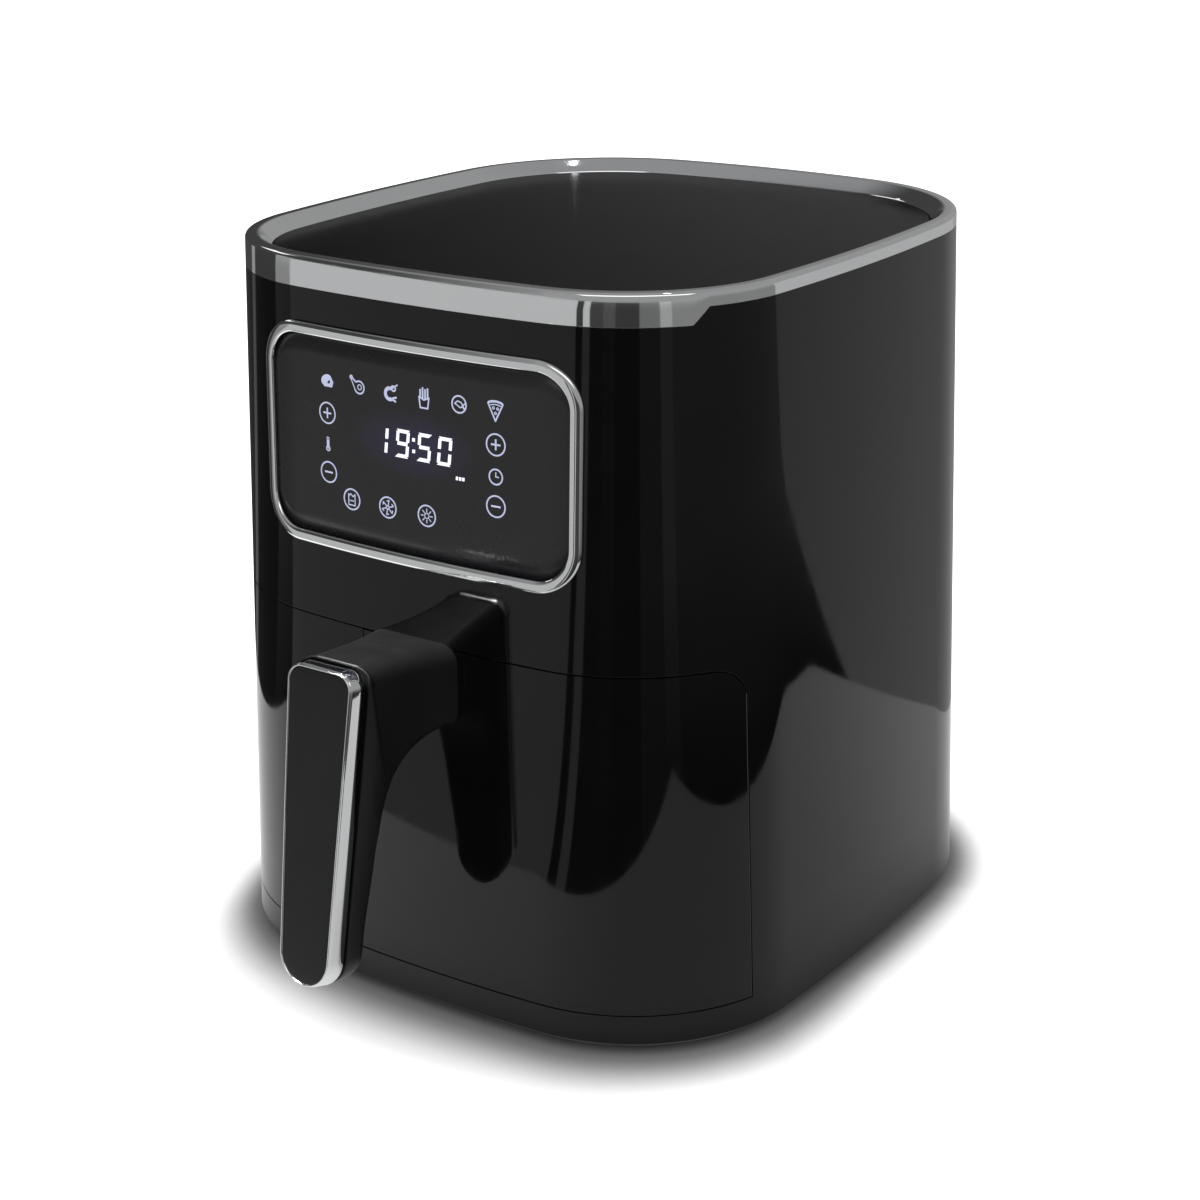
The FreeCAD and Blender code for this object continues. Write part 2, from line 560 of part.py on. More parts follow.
def grip_wire(inset, w):
    """Outline of the grip: round foot, slightly spread sides, rounded upper corners."""
    length = math.hypot(GRIP_TOP[0] - GRIP_BOTTOM[0], GRIP_TOP[1] - GRIP_BOTTOM[1])
    low, high = GRIP_HALF_LOW - inset, GRIP_HALF_TOP - inset
    corner = GRIP_TOP_CORNER - inset
    top = length - inset
    tilt = math.atan2(GRIP_HALF_TOP - GRIP_HALF_LOW, length - GRIP_HALF_LOW - GRIP_TOP_CORNER)
    low_centre = GRIP_HALF_LOW
    high_centre = (high - corner, top - corner)

    def on_low(angle):
        return grip_point(low * math.cos(angle), low_centre + low * math.sin(angle), w)

    def on_high(angle, side):
        u = high_centre[0] + corner * math.cos(angle)
        return grip_point(side * u, high_centre[1] + corner * math.sin(angle), w)

    edges = [
        Part.Arc(on_low(math.pi + tilt), on_low(-math.pi / 2), on_low(-tilt)).toShape(),
        Part.LineSegment(on_low(-tilt), on_high(-tilt, 1)).toShape(),
        Part.Arc(on_high(-tilt, 1), on_high(math.pi / 4, 1), on_high(math.pi / 2, 1)).toShape(),
        Part.LineSegment(on_high(math.pi / 2, 1), on_high(math.pi / 2, -1)).toShape(),
        Part.Arc(on_high(math.pi / 2, -1), on_high(math.pi / 4, -1), on_high(-tilt, -1)).toShape(),
        Part.LineSegment(on_high(-tilt, -1), on_low(math.pi + tilt)).toShape(),
    ]
    return Part.Wire(edges)


def grip_layer(w_range, inset):
    """Slice of the grip between two depths behind its front face."""
    base = Part.Face(grip_wire(inset, w_range[0]))
    return base.extrude(grip_point(0, 0, w_range[1]) - grip_point(0, 0, w_range[0]))


def handle_trim():
    band = grip_layer((-TRIM_DEPTH, 0.0), 0.0)
    return band.cut(grip_layer((-TRIM_DEPTH, 0.0), TRIM_WIDTH))


def handle_inlay():
    return grip_layer((-INLAY_RECESS - INLAY_THICK, -INLAY_RECESS), TRIM_WIDTH)


def arm_side_face():
    """Arm seen from the side: gently falling top, underside running into the grip in an arc."""
    def at(spot):
        return V(-FAR, *spot)

    low_back, high_back = (ARM_BACK_Y, ARM_Z[0]), (ARM_BACK_Y, ARM_Z[1])
    foot_front = (ARM_FOOT_FRONT_Y, ARM_FOOT[1])
    edges = [
        Part.LineSegment(at(low_back), at(ARM_TURN)).toShape(),
        Part.Arc(at(ARM_TURN), at(ARM_ARC), at(ARM_FOOT)).toShape(),
        Part.LineSegment(at(ARM_FOOT), at(foot_front)).toShape(),
        Part.LineSegment(at(foot_front), at(ARM_TOP_FRONT)).toShape(),
        Part.Arc(at(ARM_TOP_FRONT), at(ARM_TOP_MIDDLE), at(high_back)).toShape(),
        Part.LineSegment(at(high_back), at(low_back)).toShape(),
    ]
    return Part.Face(Part.Wire(edges))


def arm_plan_face():
    """Arm seen from above: straight at the grip, flaring towards the drawer."""
    flare_x, flare_y = ARM_FLARE_MIDDLE
    right = [V(ARM_HALF_GRIP, ARM_FRONT_Y, 0), V(ARM_HALF_GRIP, ARM_FLARE_START_Y, 0),
             V(ARM_HALF_ROOT, ARM_FLARE_END_Y, 0), V(ARM_HALF_BACK, ARM_BACK_Y, 0)]
    left = [V(-p.x, p.y, 0) for p in reversed(right)]
    edges = [
        Part.LineSegment(right[0], right[1]).toShape(),
        Part.Arc(right[1], V(flare_x, flare_y, 0), right[2]).toShape(),
        Part.LineSegment(right[2], right[3]).toShape(),
        Part.LineSegment(right[3], left[0]).toShape(),
        Part.LineSegment(left[0], left[1]).toShape(),
        Part.Arc(left[1], V(-flare_x, flare_y, 0), left[2]).toShape(),
        Part.LineSegment(left[2], left[3]).toShape(),
        Part.LineSegment(left[3], right[0]).toShape(),
    ]
    return Part.Face(Part.Wire(edges))


def handle_core():
    arm = arm_side_face().extrude(V(2 * FAR, 0, 0)).common(arm_plan_face().extrude(V(0, 0, FAR)))
    front_limit = grip_layer((-GRIP_DEPTH, FAR), -FAR / 8)
    arm = arm.cut(front_limit).cut(OUTER)
    body = grip_layer((-GRIP_DEPTH, -TRIM_DEPTH - GROOVE), 0.0)
    neck = grip_layer((-TRIM_DEPTH - GROOVE, -INLAY_RECESS - INLAY_THICK), TRIM_WIDTH)
    return fused([body, neck, arm]).cut(group(handle_screw_shapes()))


def handle_screw_shapes():
    """Two screws from inside the drawer front, through the root plate, into the arm."""
    tip, underside, top = HANDLE_SCREW_Y
    shapes = []
    for x in (-HANDLE_SCREW_X, HANDLE_SCREW_X):
        head = rod_y(x, HANDLE_SCREW_Z, (underside, top), HANDLE_SCREW_HEAD)
        shank = rod_y(x, HANDLE_SCREW_Z, (tip, underside), HANDLE_SCREW_SHANK)
        shapes.append(fused([head, shank]))
    return shapes


# ======================= inner frame, liner, heater =======================
def frame_shelf(z_low):
    """Level shelf from the frame plate forwards to the inside of the front wall."""
    return INNER.common(block((-FAR, FAR), (-FAR, FRAME_Y[1]), (z_low, z_low + SHELF_THICK)))


def plunger_hole(y_range):
    """Clearance round the switch plunger."""
    return rod_y(sum(SWITCH_X) / 2, PLUNGER_Z, y_range, PLUNGER_RADIUS + REST_GAP)


def cavity_frame():
    """Moulded frame round the drawer bay: upright plate with the pan's doorway and two shelves."""
    shelf_top = OPENING_Z[1] + SHELF_GAP_TOP
    shelf_low = OPENING_Z[0] - SHELF_GAP_LOW - SHELF_THICK
    plate = INNER.common(block((-FAR, FAR), FRAME_Y, (BASE_TOP, shelf_top + SHELF_THICK)))
    frame = fused([plate, frame_shelf(shelf_top), frame_shelf(shelf_low)])
    door_z = (LINER_Z[0] + DOORWAY_LOW, LINER_Z[1] - DOORWAY_TOP)
    doorway = front_prism(LINER_HALF - DOORWAY_SIDE, door_z, DOORWAY_CORNER, FRAME_Y)
    upstand = (BASE_TOP, BASE_TOP + UPSTAND)
    tray_rim = slab(upstand, WALL).cut(slab(upstand, WALL + REST_GAP + UPSTAND_THICK))
    frame = frame.cut(doorway).cut(plunger_hole(FRAME_Y)).cut(tray_rim)
    return frame.cut(group(base_screw_shapes()))


def cavity_liner():
    """Sheet steel cooking space, open to the front and to the heater above."""
    front = FRAME_Y[1]
    z0, z1 = LINER_Z
    shape = (LINER_FRONT_CORNER, LINER_BACK_CORNER)
    inner = level_plate(LINER_HALF, (front - LINER_PAST_FRAME, LINER_BACK), LINER_Z, *shape)
    outer = level_plate(LINER_HALF + SHEET, (front - LINER_PAST_FRAME, LINER_BACK + SHEET),
                        (z0 - SHEET, z1 + SHEET), LINER_FRONT_CORNER, LINER_BACK_CORNER + SHEET)
    shell = outer.cut(inner).common(block((-FAR, FAR), (front, FAR), (0.0, FAR)))
    return shell.cut(disc(0, FAN_Y, (z1, z1 + SHEET), DOME_RADIUS - DOME_MOUTH_INSET))


def drawer_rails():
    z_range = (LINER_Z[0], PAN_Z[0] - REST_GAP)
    half = RAIL_WIDTH / 2
    return group([block((x - half, x + half), RAIL_Y, z_range) for x in (-RAIL_X, RAIL_X)])


def duct_block(wall):
    """Exhaust duct's space, reduced by a wall thickness."""
    half = DUCT_HALF - wall
    return block((-half, half), (DUCT_FRONT_Y, FAR), (DUCT_Z[0] + wall, DUCT_Z[1] - wall))


def heater_dome():
    z0 = LINER_Z[1] + SHEET
    shell = disc(0, FAN_Y, (z0, DOME_TOP), DOME_RADIUS)
    shell = shell.cut(disc(0, FAN_Y, (z0, DOME_TOP - SHEET), DOME_RADIUS - SHEET))
    shell = shell.cut(disc(0, FAN_Y, (z0, DOME_TOP), SHAFT_RADIUS + DOME_BORE_GAP))
    shell = shell.cut(duct_block(SHEET))
    return shell.cut(group([coil_loop(r) for r in COIL_RADII])).cut(temperature_probe())


def heater_guard():
    """Wire guard under the heater: five rings, a rim and two spokes."""
    low = LINER_Z[1] + SHEET
    z_range = (low, low + GUARD_THICK)
    radius = DOME_RADIUS - SHEET
    shapes = [disc(0, FAN_Y, z_range, radius).cut(disc(0, FAN_Y, z_range, radius - GUARD_RIM))]
    for step in GUARD_STEPS:
        ring = disc(0, FAN_Y, z_range, radius - step)
        shapes.append(ring.cut(disc(0, FAN_Y, z_range, radius - step - GUARD_RING)))
    half, reach = GUARD_SPOKE / 2, radius - GUARD_RIM / 2
    shapes.append(block((-reach, reach), (FAN_Y - half, FAN_Y + half), z_range))
    shapes.append(block((-half, half), (FAN_Y - reach, FAN_Y + reach), z_range))
    return fused(shapes)


def coil_loop(radius):
    """One turn of tubular heater whose two ends rise through the top of the dome."""
    half_gap = math.asin((COIL_BEND + COIL_LEG_GAP) / radius)
    top = DOME_TOP + COIL_RISE
    edges = []
    for side in (-1, 1):
        angle = math.pi / 2 + side * half_gap
        out = V(math.cos(angle), math.sin(angle), 0) * radius + V(0, FAN_Y, COIL_Z)
        towards = V(math.sin(angle), -math.cos(angle), 0) * side
        foot_point = out + towards * COIL_BEND + V(0, 0, COIL_BEND)
        middle = out + towards * COIL_BEND * math.sin(math.pi / 4)
        middle = middle + V(0, 0, COIL_BEND * (1 - math.cos(math.pi / 4)))
        head = V(foot_point.x, foot_point.y, top)
        bend = Part.Arc(out, middle, foot_point).toShape()
        leg = Part.LineSegment(foot_point, head).toShape()
        edges.append((bend, leg, out, head))
    far = V(0, FAN_Y - radius, COIL_Z)
    turn = Part.Arc(edges[0][2], far, edges[1][2]).toShape()
    path = Part.Wire(Part.__sortEdges__([edges[0][1], edges[0][0], turn, edges[1][0], edges[1][1]]))
    start = path.OrderedVertexes[0].Point
    profile = Part.Wire([Part.makeCircle(COIL_TUBE, start, Z_AXIS)])
    return path.makePipeShell([profile], True, False)


def heating_coil():
    return group([coil_loop(r) for r in COIL_RADII])


def coil_brackets():
    """Three flat bars from the dome wall under both turns."""
    top = COIL_Z - COIL_TUBE
    half = COIL_BAR_HALF
    reach = math.sqrt((DOME_RADIUS - SHEET) ** 2 - half ** 2)
    bars = []
    for angle in COIL_BAR_ANGLES:
        bar = block((COIL_RADII[1] - 2 * half, reach), (-half, half), (top - COIL_BAR_THICK, top))
        bar.rotate(V(0, 0, 0), Z_AXIS, angle)
        bar.translate(V(0, FAN_Y, 0))
        bars.append(bar)
    return group(bars)


def temperature_probe():
    """Sensor rod through the dome wall, pointing at the fan axis from the right."""
    first, last = DOME_RADIUS - PROBE_INSIDE, DOME_RADIUS + PROBE_OUTSIDE
    rod = Part.makeCylinder(PROBE_RADIUS, last - first, V(first, FAN_Y, PROBE_Z), X_AXIS)
    seat = V(DOME_RADIUS + PROBE_HEAD_OUT, FAN_Y, PROBE_Z)
    head = Part.makeCylinder(PROBE_HEAD, PROBE_HEAD, seat, X_AXIS)
    return fused([rod, head])


def thermal_cutout():
    return disc(CUTOUT_X, FAN_Y, (DOME_TOP, SHIELD_Z - REST_GAP), CUTOUT_RADIUS)


def heat_shield():
    shapes = [level_plate(SHIELD_HALF, SHIELD_Y, (SHIELD_Z, SHIELD_Z + SHEET), *SHIELD_CORNERS)]
    for x in (-SHIELD_POST_X, SHIELD_POST_X):
        for y in SHIELD_POST_Y:
            shapes.append(disc(x, y, (DOME_TOP, SHIELD_Z), SHIELD_POST))
    bore = disc(0, FAN_Y, (DOME_TOP, SHIELD_Z + SHEET), SHAFT_RADIUS + SHAFT_CLEARANCE)
    return fused(shapes).cut(bore)


def exhaust_duct():
    tube = duct_block(0.0).cut(duct_block(SHEET)).common(INNER)
    span = (DUCT_Z[0] - DUCT_CLEARANCE, DUCT_Z[1] + DUCT_CLEARANCE)
    return tube.cut(disc(0, FAN_Y, span, DOME_RADIUS))


def exhaust_grille():
    plate = SKIN.common(grille_outline())
    pitch = (DUCT_Z[1] - DUCT_Z[0]) / LOUVRES
    half = DUCT_HALF - LOUVRE_EDGE
    for index in range(LOUVRES):
        low = DUCT_Z[0] + pitch * (index + 0.5) - LOUVRE_SLOT / 2
        plate = plate.cut(block((-half, half), (REAR_CUT_Y, FAR), (low, low + LOUVRE_SLOT)))
    return plate


# ======================= fans, shaft and motor =======================
def bladed_disc(z, radius, blades, height, hub):
    """Thin disc at height z with straight swept blades, above it or (height below zero) under it."""
    low, high = sorted((z, z + height))
    disc_z = (z, z + DISC_THICK) if height > 0 else (z - DISC_THICK, z)
    parts = [disc(0, 0, disc_z, radius), disc(0, 0, (low, high), hub)]
    half = BLADE_THICK / 2
    for index in range(blades):
        blade = block((hub - BLADE_ROOT, radius - BLADE_TIP_GAP), (-half, half), (low, high))
        blade.rotate(V(hub, 0, 0), Z_AXIS, BLADE_SWEEP)
        blade.rotate(V(0, 0, 0), Z_AXIS, 360.0 / blades * index)
        parts.append(blade)
    span = (low - DISC_THICK, high + DISC_THICK)
    wheel = fused(parts).common(disc(0, 0, span, radius))
    wheel = wheel.cut(disc(0, 0, span, SHAFT_RADIUS))
    wheel.translate(V(0, FAN_Y, 0))
    return wheel


def convection_fan():
    return bladed_disc(FAN_DISC_Z, FAN_RADIUS, FAN_BLADES, -FAN_HEIGHT, FAN_HUB)


def cooling_fan():
    return bladed_disc(COOLER_Z, COOLER_RADIUS, COOLER_BLADES, COOLER_HEIGHT, COOLER_HUB)


def fan_nut():
    """Hexagonal nut under the convection fan's hub."""
    top = FAN_DISC_Z - FAN_HEIGHT
    low = top - NUT_THICK
    corners = []
    for side in range(6):
        angle = math.pi * side / 3
        corners.append(V(NUT_RADIUS * math.cos(angle), FAN_Y + NUT_RADIUS * math.sin(angle), low))
    nut = Part.Face(Part.makePolygon(corners + corners[:1])).extrude(V(0, 0, NUT_THICK))
    return nut.cut(disc(0, FAN_Y, (low, top), SHAFT_RADIUS))


def fan_shaft():
    return disc(0, FAN_Y, SHAFT_Z, SHAFT_RADIUS)


def motor_span():
    """Lowest and highest point of the motor can."""
    low = BRIDGE_Z + BRIDGE_SHEET
    return (low, low + MOTOR_LENGTH)


def bush_spans():
    z0, z1 = motor_span()
    return ((z0, z0 + BUSH_LENGTH), (z1 - BUSH_LENGTH, z1))


def fan_motor():
    can = disc(0, FAN_Y, motor_span(), MOTOR_RADIUS)
    z0, z1 = motor_span()
    hollow = disc(0, FAN_Y, (z0 + BUSH_LENGTH, z1 - BUSH_LENGTH), ROTOR_RADIUS + ROTOR_GAP)
    can = can.cut(hollow).cut(disc(0, FAN_Y, (z0, z1), BUSH_RADIUS))
    return can.cut(group(motor_screw_shapes()))


def motor_bushes():
    rings = []
    for span in bush_spans():
        bore = disc(0, FAN_Y, span, SHAFT_RADIUS + RUNNING_GAP)
        rings.append(disc(0, FAN_Y, span, BUSH_RADIUS).cut(bore))
    return group(rings)


def motor_rotor():
    z0, z1 = motor_span()
    span = (z0 + BUSH_LENGTH + ROTOR_GAP, z1 - BUSH_LENGTH - ROTOR_GAP)
    return disc(0, FAN_Y, span, ROTOR_RADIUS).cut(disc(0, FAN_Y, span, SHAFT_RADIUS))


def motor_screw_shapes():
    """Two screws from under the bridge into the motor."""
    shapes = []
    for x in (-MOTOR_SCREW_X, MOTOR_SCREW_X):
        head = disc(x, FAN_Y, (BRIDGE_Z - BRIDGE_SHEET, BRIDGE_Z), MOTOR_SCREW_HEAD)
        shank = disc(x, FAN_Y, (BRIDGE_Z, BRIDGE_Z + MOTOR_SCREW_LENGTH), MOTOR_SCREW_SHANK)
        shapes.append(fused([head, shank]))
    return shapes


def motor_bridge():
    """Sheet bridge on two legs that carries the motor."""
    deck_z = (BRIDGE_Z, BRIDGE_Z + BRIDGE_SHEET)
    y_range = (FAN_Y - BRIDGE_DEPTH / 2, FAN_Y + BRIDGE_DEPTH / 2)
    shapes = [block((-BRIDGE_HALF, BRIDGE_HALF), y_range, deck_z)]
    for x in (-BRIDGE_HALF, BRIDGE_HALF - BRIDGE_SHEET):
        shapes.append(block((x, x + BRIDGE_SHEET), y_range, (SHIELD_Z + SHEET, BRIDGE_Z)))
    bridge = fused(shapes).cut(disc(0, FAN_Y, deck_z, SHAFT_RADIUS + SHAFT_CLEARANCE))
    return bridge.cut(group(motor_screw_shapes()))


# ======================= electrics =======================
def power_board():
    return block(POWER_X, POWER_Y, (POWER_Z, POWER_Z + BOARD_THICK))


def board_posts():
    shapes = []
    for x in (POWER_X[0] + POST_INSET, POWER_X[1] - POST_INSET):
        for y in (POWER_Y[0] + POST_INSET, POWER_Y[1] - POST_INSET):
            shapes.append(disc(x, y, (SHIELD_Z + SHEET, POWER_Z), POST_RADIUS))
    return group(shapes)


def board_components():
    """Relay, transformer, terminal strip and two capacitors."""
    z = POWER_Z + BOARD_THICK
    shapes = []
    for x_range, y_range, height in (RELAY, TRANSFORMER, TERMINALS):
        shapes.append(block(x_range, y_range, (z, z + height)))
    for x, y, height, radius in CAPACITORS:
        shapes.append(disc(x, y, (z, z + height), radius))
    return group(shapes)


def ribbon_cable():
    """Flat lead from the control board, dipping slightly, to the power board."""
    low = POWER_Z + BOARD_THICK
    high = low + RIBBON_RISE
    start = BOARD_Y + BOARD_THICK
    line = [(start, high), (start + RIBBON_STRAIGHT, high), (POWER_Y[0] - RIBBON_REACH, low),
            (POWER_Y[0] + RIBBON_REACH, low)]
    upper = [(y, z + RIBBON_THICK) for y, z in reversed(line)]
    half = (POWER_X[1] + BOARD_HALF) / 2
    strip = side_prism(line + upper, half)
    strip.translate(V(half - BOARD_HALF, 0, 0))
    return strip


# ======================= drawer switch and cord inlet =======================
def door_switch():
    case = block(SWITCH_X, (FRAME_Y[1], SWITCH_BACK), SWITCH_Z)
    return case.cut(plunger_hole((FRAME_Y[1], FRAME_Y[1] + PLUNGER_BORE)))


def switch_plunger():
    tip = OPENING_Y - SEAM + PLUNGER_GAP
    reach = (tip, FRAME_Y[1] + PLUNGER_IN_CASE)
    return rod_y(sum(SWITCH_X) / 2, PLUNGER_Z, reach, PLUNGER_RADIUS)


def cord_gland():
    """Bush in the rear wall that the supply cord passes through."""
    flange_y = (GLAND_END - GLAND_FLANGE_LENGTH, GLAND_END)
    body = rod_y(GLAND_X, GLAND_Z, (GLAND_END - GLAND_LENGTH, GLAND_END), GLAND_BODY)
    flange = rod_y(GLAND_X, GLAND_Z, flange_y, GLAND_FLANGE).cut(OUTER)
    return fused([body, flange]).cut(rod_y(GLAND_X, GLAND_Z, (REAR_CUT_Y, FAR), GLAND_BORE))


# ======================= assembly =======================
PARTS = {
    "outer_housing": outer_housing, "side_screw_plugs": side_screw_plugs,
    "top_trim_ring": top_trim_ring, "top_cover": top_cover,
    "base_plate": base_plate, "rear_support": rear_support,
    "base_screws": lambda: group(base_screw_shapes()),
    "control_glass": control_glass, "control_bezel": control_bezel,
    "touch_springs": touch_springs, "led_display": led_display,
    "control_board": control_board, "panel_carrier": panel_carrier,
    "drawer_front": drawer_front, "drawer_backplate": drawer_backplate,
    "handle_root_plate": handle_root_plate, "pan_bracket": pan_bracket,
    "drawer_pan": drawer_pan, "crisper_plate": crisper_plate, "plate_bumpers": plate_bumpers,
    "handle_core": handle_core, "handle_trim": handle_trim, "handle_inlay": handle_inlay,
    "handle_screws": lambda: group(handle_screw_shapes()),
    "cavity_frame": cavity_frame, "cavity_liner": cavity_liner, "drawer_rails": drawer_rails,
    "heater_dome": heater_dome, "heater_guard": heater_guard, "heating_coil": heating_coil,
    "coil_brackets": coil_brackets, "temperature_probe": temperature_probe,
    "thermal_cutout": thermal_cutout, "heat_shield": heat_shield,
    "exhaust_duct": exhaust_duct, "exhaust_grille": exhaust_grille,
    "convection_fan": convection_fan, "cooling_fan": cooling_fan, "fan_nut": fan_nut,
    "fan_shaft": fan_shaft, "motor_rotor": motor_rotor, "fan_motor": fan_motor,
    "motor_bushes": motor_bushes, "motor_bridge": motor_bridge,
    "motor_screws": lambda: group(motor_screw_shapes()),
    "power_board": power_board, "board_posts": board_posts,
    "board_components": board_components, "ribbon_cable": ribbon_cable,
    "door_switch": door_switch, "switch_plunger": switch_plunger, "cord_gland": cord_gland,
}


def main():
    os.makedirs("parts", exist_ok=True)
    shapes = {name: make() for name, make in PARTS.items()}
    for spot, (x, y) in FOOT_SPOTS.items():
        shapes["foot_" + spot] = foot(x, y)
    back = HALF_DEPTH + growth(BASE_TOP)
    front = min(s.optimalBoundingBox(False).YMin for s in shapes.values())
    to_centre = V(0, -(front + back) / 2, 0)
    print("moved along Y by", round(to_centre.y, 3))
    for name, shape in shapes.items():
        shape.translate(to_centre)
        shape.exportStep(os.path.join("parts", name + ".step"))
        print(f"{name:20s} solids {len(shape.Solids):3d} valid {shape.isValid()} {shape.Volume:10.0f}")


main()
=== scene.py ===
import json
import math

import bmesh
import bpy
import numpy as np
from mathutils import Matrix, Vector


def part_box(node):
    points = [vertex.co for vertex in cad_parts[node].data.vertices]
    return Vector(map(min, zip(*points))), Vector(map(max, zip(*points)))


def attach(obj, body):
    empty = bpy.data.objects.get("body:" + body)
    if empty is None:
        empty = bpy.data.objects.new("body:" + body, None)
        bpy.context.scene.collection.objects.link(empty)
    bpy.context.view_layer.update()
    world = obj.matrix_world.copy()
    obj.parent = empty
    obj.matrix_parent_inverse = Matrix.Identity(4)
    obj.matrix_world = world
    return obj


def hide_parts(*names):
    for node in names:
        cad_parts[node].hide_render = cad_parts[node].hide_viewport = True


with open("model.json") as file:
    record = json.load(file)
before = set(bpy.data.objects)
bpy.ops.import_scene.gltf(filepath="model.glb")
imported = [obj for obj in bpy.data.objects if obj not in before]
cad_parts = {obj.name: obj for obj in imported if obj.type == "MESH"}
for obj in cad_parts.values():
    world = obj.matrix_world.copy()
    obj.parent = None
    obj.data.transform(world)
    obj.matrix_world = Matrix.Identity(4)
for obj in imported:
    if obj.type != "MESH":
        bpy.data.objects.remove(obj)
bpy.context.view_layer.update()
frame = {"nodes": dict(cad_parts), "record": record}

MM = 0.001
BODY_Y = (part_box("outer_housing")[0].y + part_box("outer_housing")[1].y) / 2 / MM

# ---- body outline in millimetres about the middle of the body, as the housing is designed ----
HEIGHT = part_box("top_trim_ring")[1].z / MM
HALF_WIDTH, HALF_DEPTH, TAPER = 127.0, 140.0, 10.5
SIDE_RADIUS, FRONT_RADIUS, BACK_RADIUS = 900.0, 700.0, 431.4
FRONT_CORNER, BACK_CORNER = 70.0, 84.3
WALL = 2.5
BASE_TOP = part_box("outer_housing")[0].z / MM

# ---- drawer opening, window, grille and trim ----
OPENING_Z, OPENING_Y, OPENING_CORNER, SEAM = (17.3, 162.0), -93.5, 15.0, 0.5
NOTCH_HALF, NOTCH_Z = 26.0, 147.5
WINDOW_HALF, WINDOW_Z, WINDOW_CORNER = 74.4, (196.6, 280.4), 15.4
BEZEL_HALF, BEZEL_Z, BEZEL_BAR, BEZEL_CORNER, BEZEL_PROUD = 78.0, (193.0, 284.0), 5.0, 19.0, 2.0
GRILLE_HALF, GRILLE_Z, GRILLE_CORNER = 36.0, (164.0, 206.0), 4.0
TRIM_FRONT_Z, TRIM_SIDE_Z, TRIM_STEP_Y = 297.4, 304.0, (-110.9, -105.4)
FLANGE_Z, SLOPE_Z, CREST_INSET, SLOPE_INSET = 302.0, 304.8, 5.4, 11.4

# ---- handle ----
GRIP_LOW, GRIP_HIGH = np.array([-221.0, 40.0]), np.array([-200.9, 170.0])
GRIP_HALF_LOW, GRIP_HALF_TOP, GRIP_CORNER = 13.8, 17.0, 8.0
GRIP_DEPTH, BAND_DEPTH, GROOVE, BAND_WIDTH = 22.0, 8.0, 1.8, 2.0

# ---- how finely the meshes are divided, and how soft their edges are ----
WHOLE = 5.0                      # half of the perimeter in units of arcs
BISECTIONS = 45
COLUMN_STEP, RING_STEP, ROW_STEP = 3.0, 2.0, 9.0
EDGE_ROUND, FINE_ROUND, ROUND_STEPS = 0.35, 0.25, 2
FRONT_X, SIDE_Y, REAR_X = (0.0, 1.9), (0.3, 2.5), (4.0, 5.0)      # where each search runs, in arcs
SIDE_ARC = (2.0, 4.0)


# ======================= outline =======================
def corner_centre(end_radius, corner_radius):
    side = np.array([HALF_WIDTH - SIDE_RADIUS, 0.0])
    end = np.array([0.0, HALF_DEPTH - end_radius])
    reach_side, reach_end = SIDE_RADIUS - corner_radius, end_radius - corner_radius
    gap = end - side
    length = np.hypot(*gap)
    along = (reach_side ** 2 - reach_end ** 2 + length ** 2) / (2 * length)
    across = math.sqrt(reach_side ** 2 - along ** 2)
    unit = gap / length
    return side + along * unit + across * np.array([-unit[1], unit[0]])


def outline_arcs():
    """Right half of the outline from front to back: centre x, centre y, radius, first and last angle."""
    side_x = HALF_WIDTH - SIDE_RADIUS
    arcs = []
    fx, fy = corner_centre(FRONT_RADIUS, FRONT_CORNER)
    bx, by = corner_centre(BACK_RADIUS, BACK_CORNER)
    front_y = HALF_DEPTH - FRONT_RADIUS
    back_y = HALF_DEPTH - BACK_RADIUS
    front_end = -math.atan2(fy - front_y, fx)
    front_side = -math.atan2(fy, fx - side_x)
    back_side = math.atan2(by, bx - side_x)
    back_end = math.atan2(by - back_y, bx)
    arcs.append((0.0, -front_y, FRONT_RADIUS, -math.pi / 2, front_end))
    arcs.append((fx, -fy, FRONT_CORNER, front_end, front_side))
    arcs.append((side_x, 0.0, SIDE_RADIUS, front_side, back_side))
    arcs.append((bx, by, BACK_CORNER, back_side, back_end))
    arcs.append((0.0, back_y, BACK_RADIUS, back_end, math.pi / 2))
    return np.array(arcs)


ARCS = outline_arcs()


def growth(z):
    return TAPER * (1.0 - np.asarray(z, float) / HEIGHT)


def outline(u, grow):
    """Point on the outline: u runs 0 at the front middle to 5 at the back middle, negative on the left."""
    u = np.asarray(u, float)
    size = np.minimum(np.abs(u), WHOLE)
    index = np.minimum(size.astype(int), len(ARCS) - 1)
    cx, cy, radius, first, last = ARCS[index].T
    angle = first + (last - first) * (size - index)
    x = (cx + (radius + grow) * np.cos(angle)) * np.where(u < 0, -1.0, 1.0)
    y = cy + (radius + grow) * np.sin(angle)
    return x, y


def locate(axis, value, u_range, grow, rising):
    """Place on the right half where x (axis 0) or y (axis 1) has a value, found by halving."""
    low, high = u_range
    for _ in range(BISECTIONS):
        middle = (low + high) / 2
        if (outline(middle, grow)[axis] < value) == rising:
            low = middle
        else:
            high = middle
    return (low + high) / 2


def mark(axis, value, u_range, rising=True):
    """Ends of a column that keeps its x or y: its place at the top and at the base."""
    return tuple(locate(axis, value, u_range, grow, rising) for grow in (0.0, TAPER))


def rear_mark(x):
    """Column on the back arc, where x falls as u grows."""
    return mark(0, x, REAR_X, rising=False)


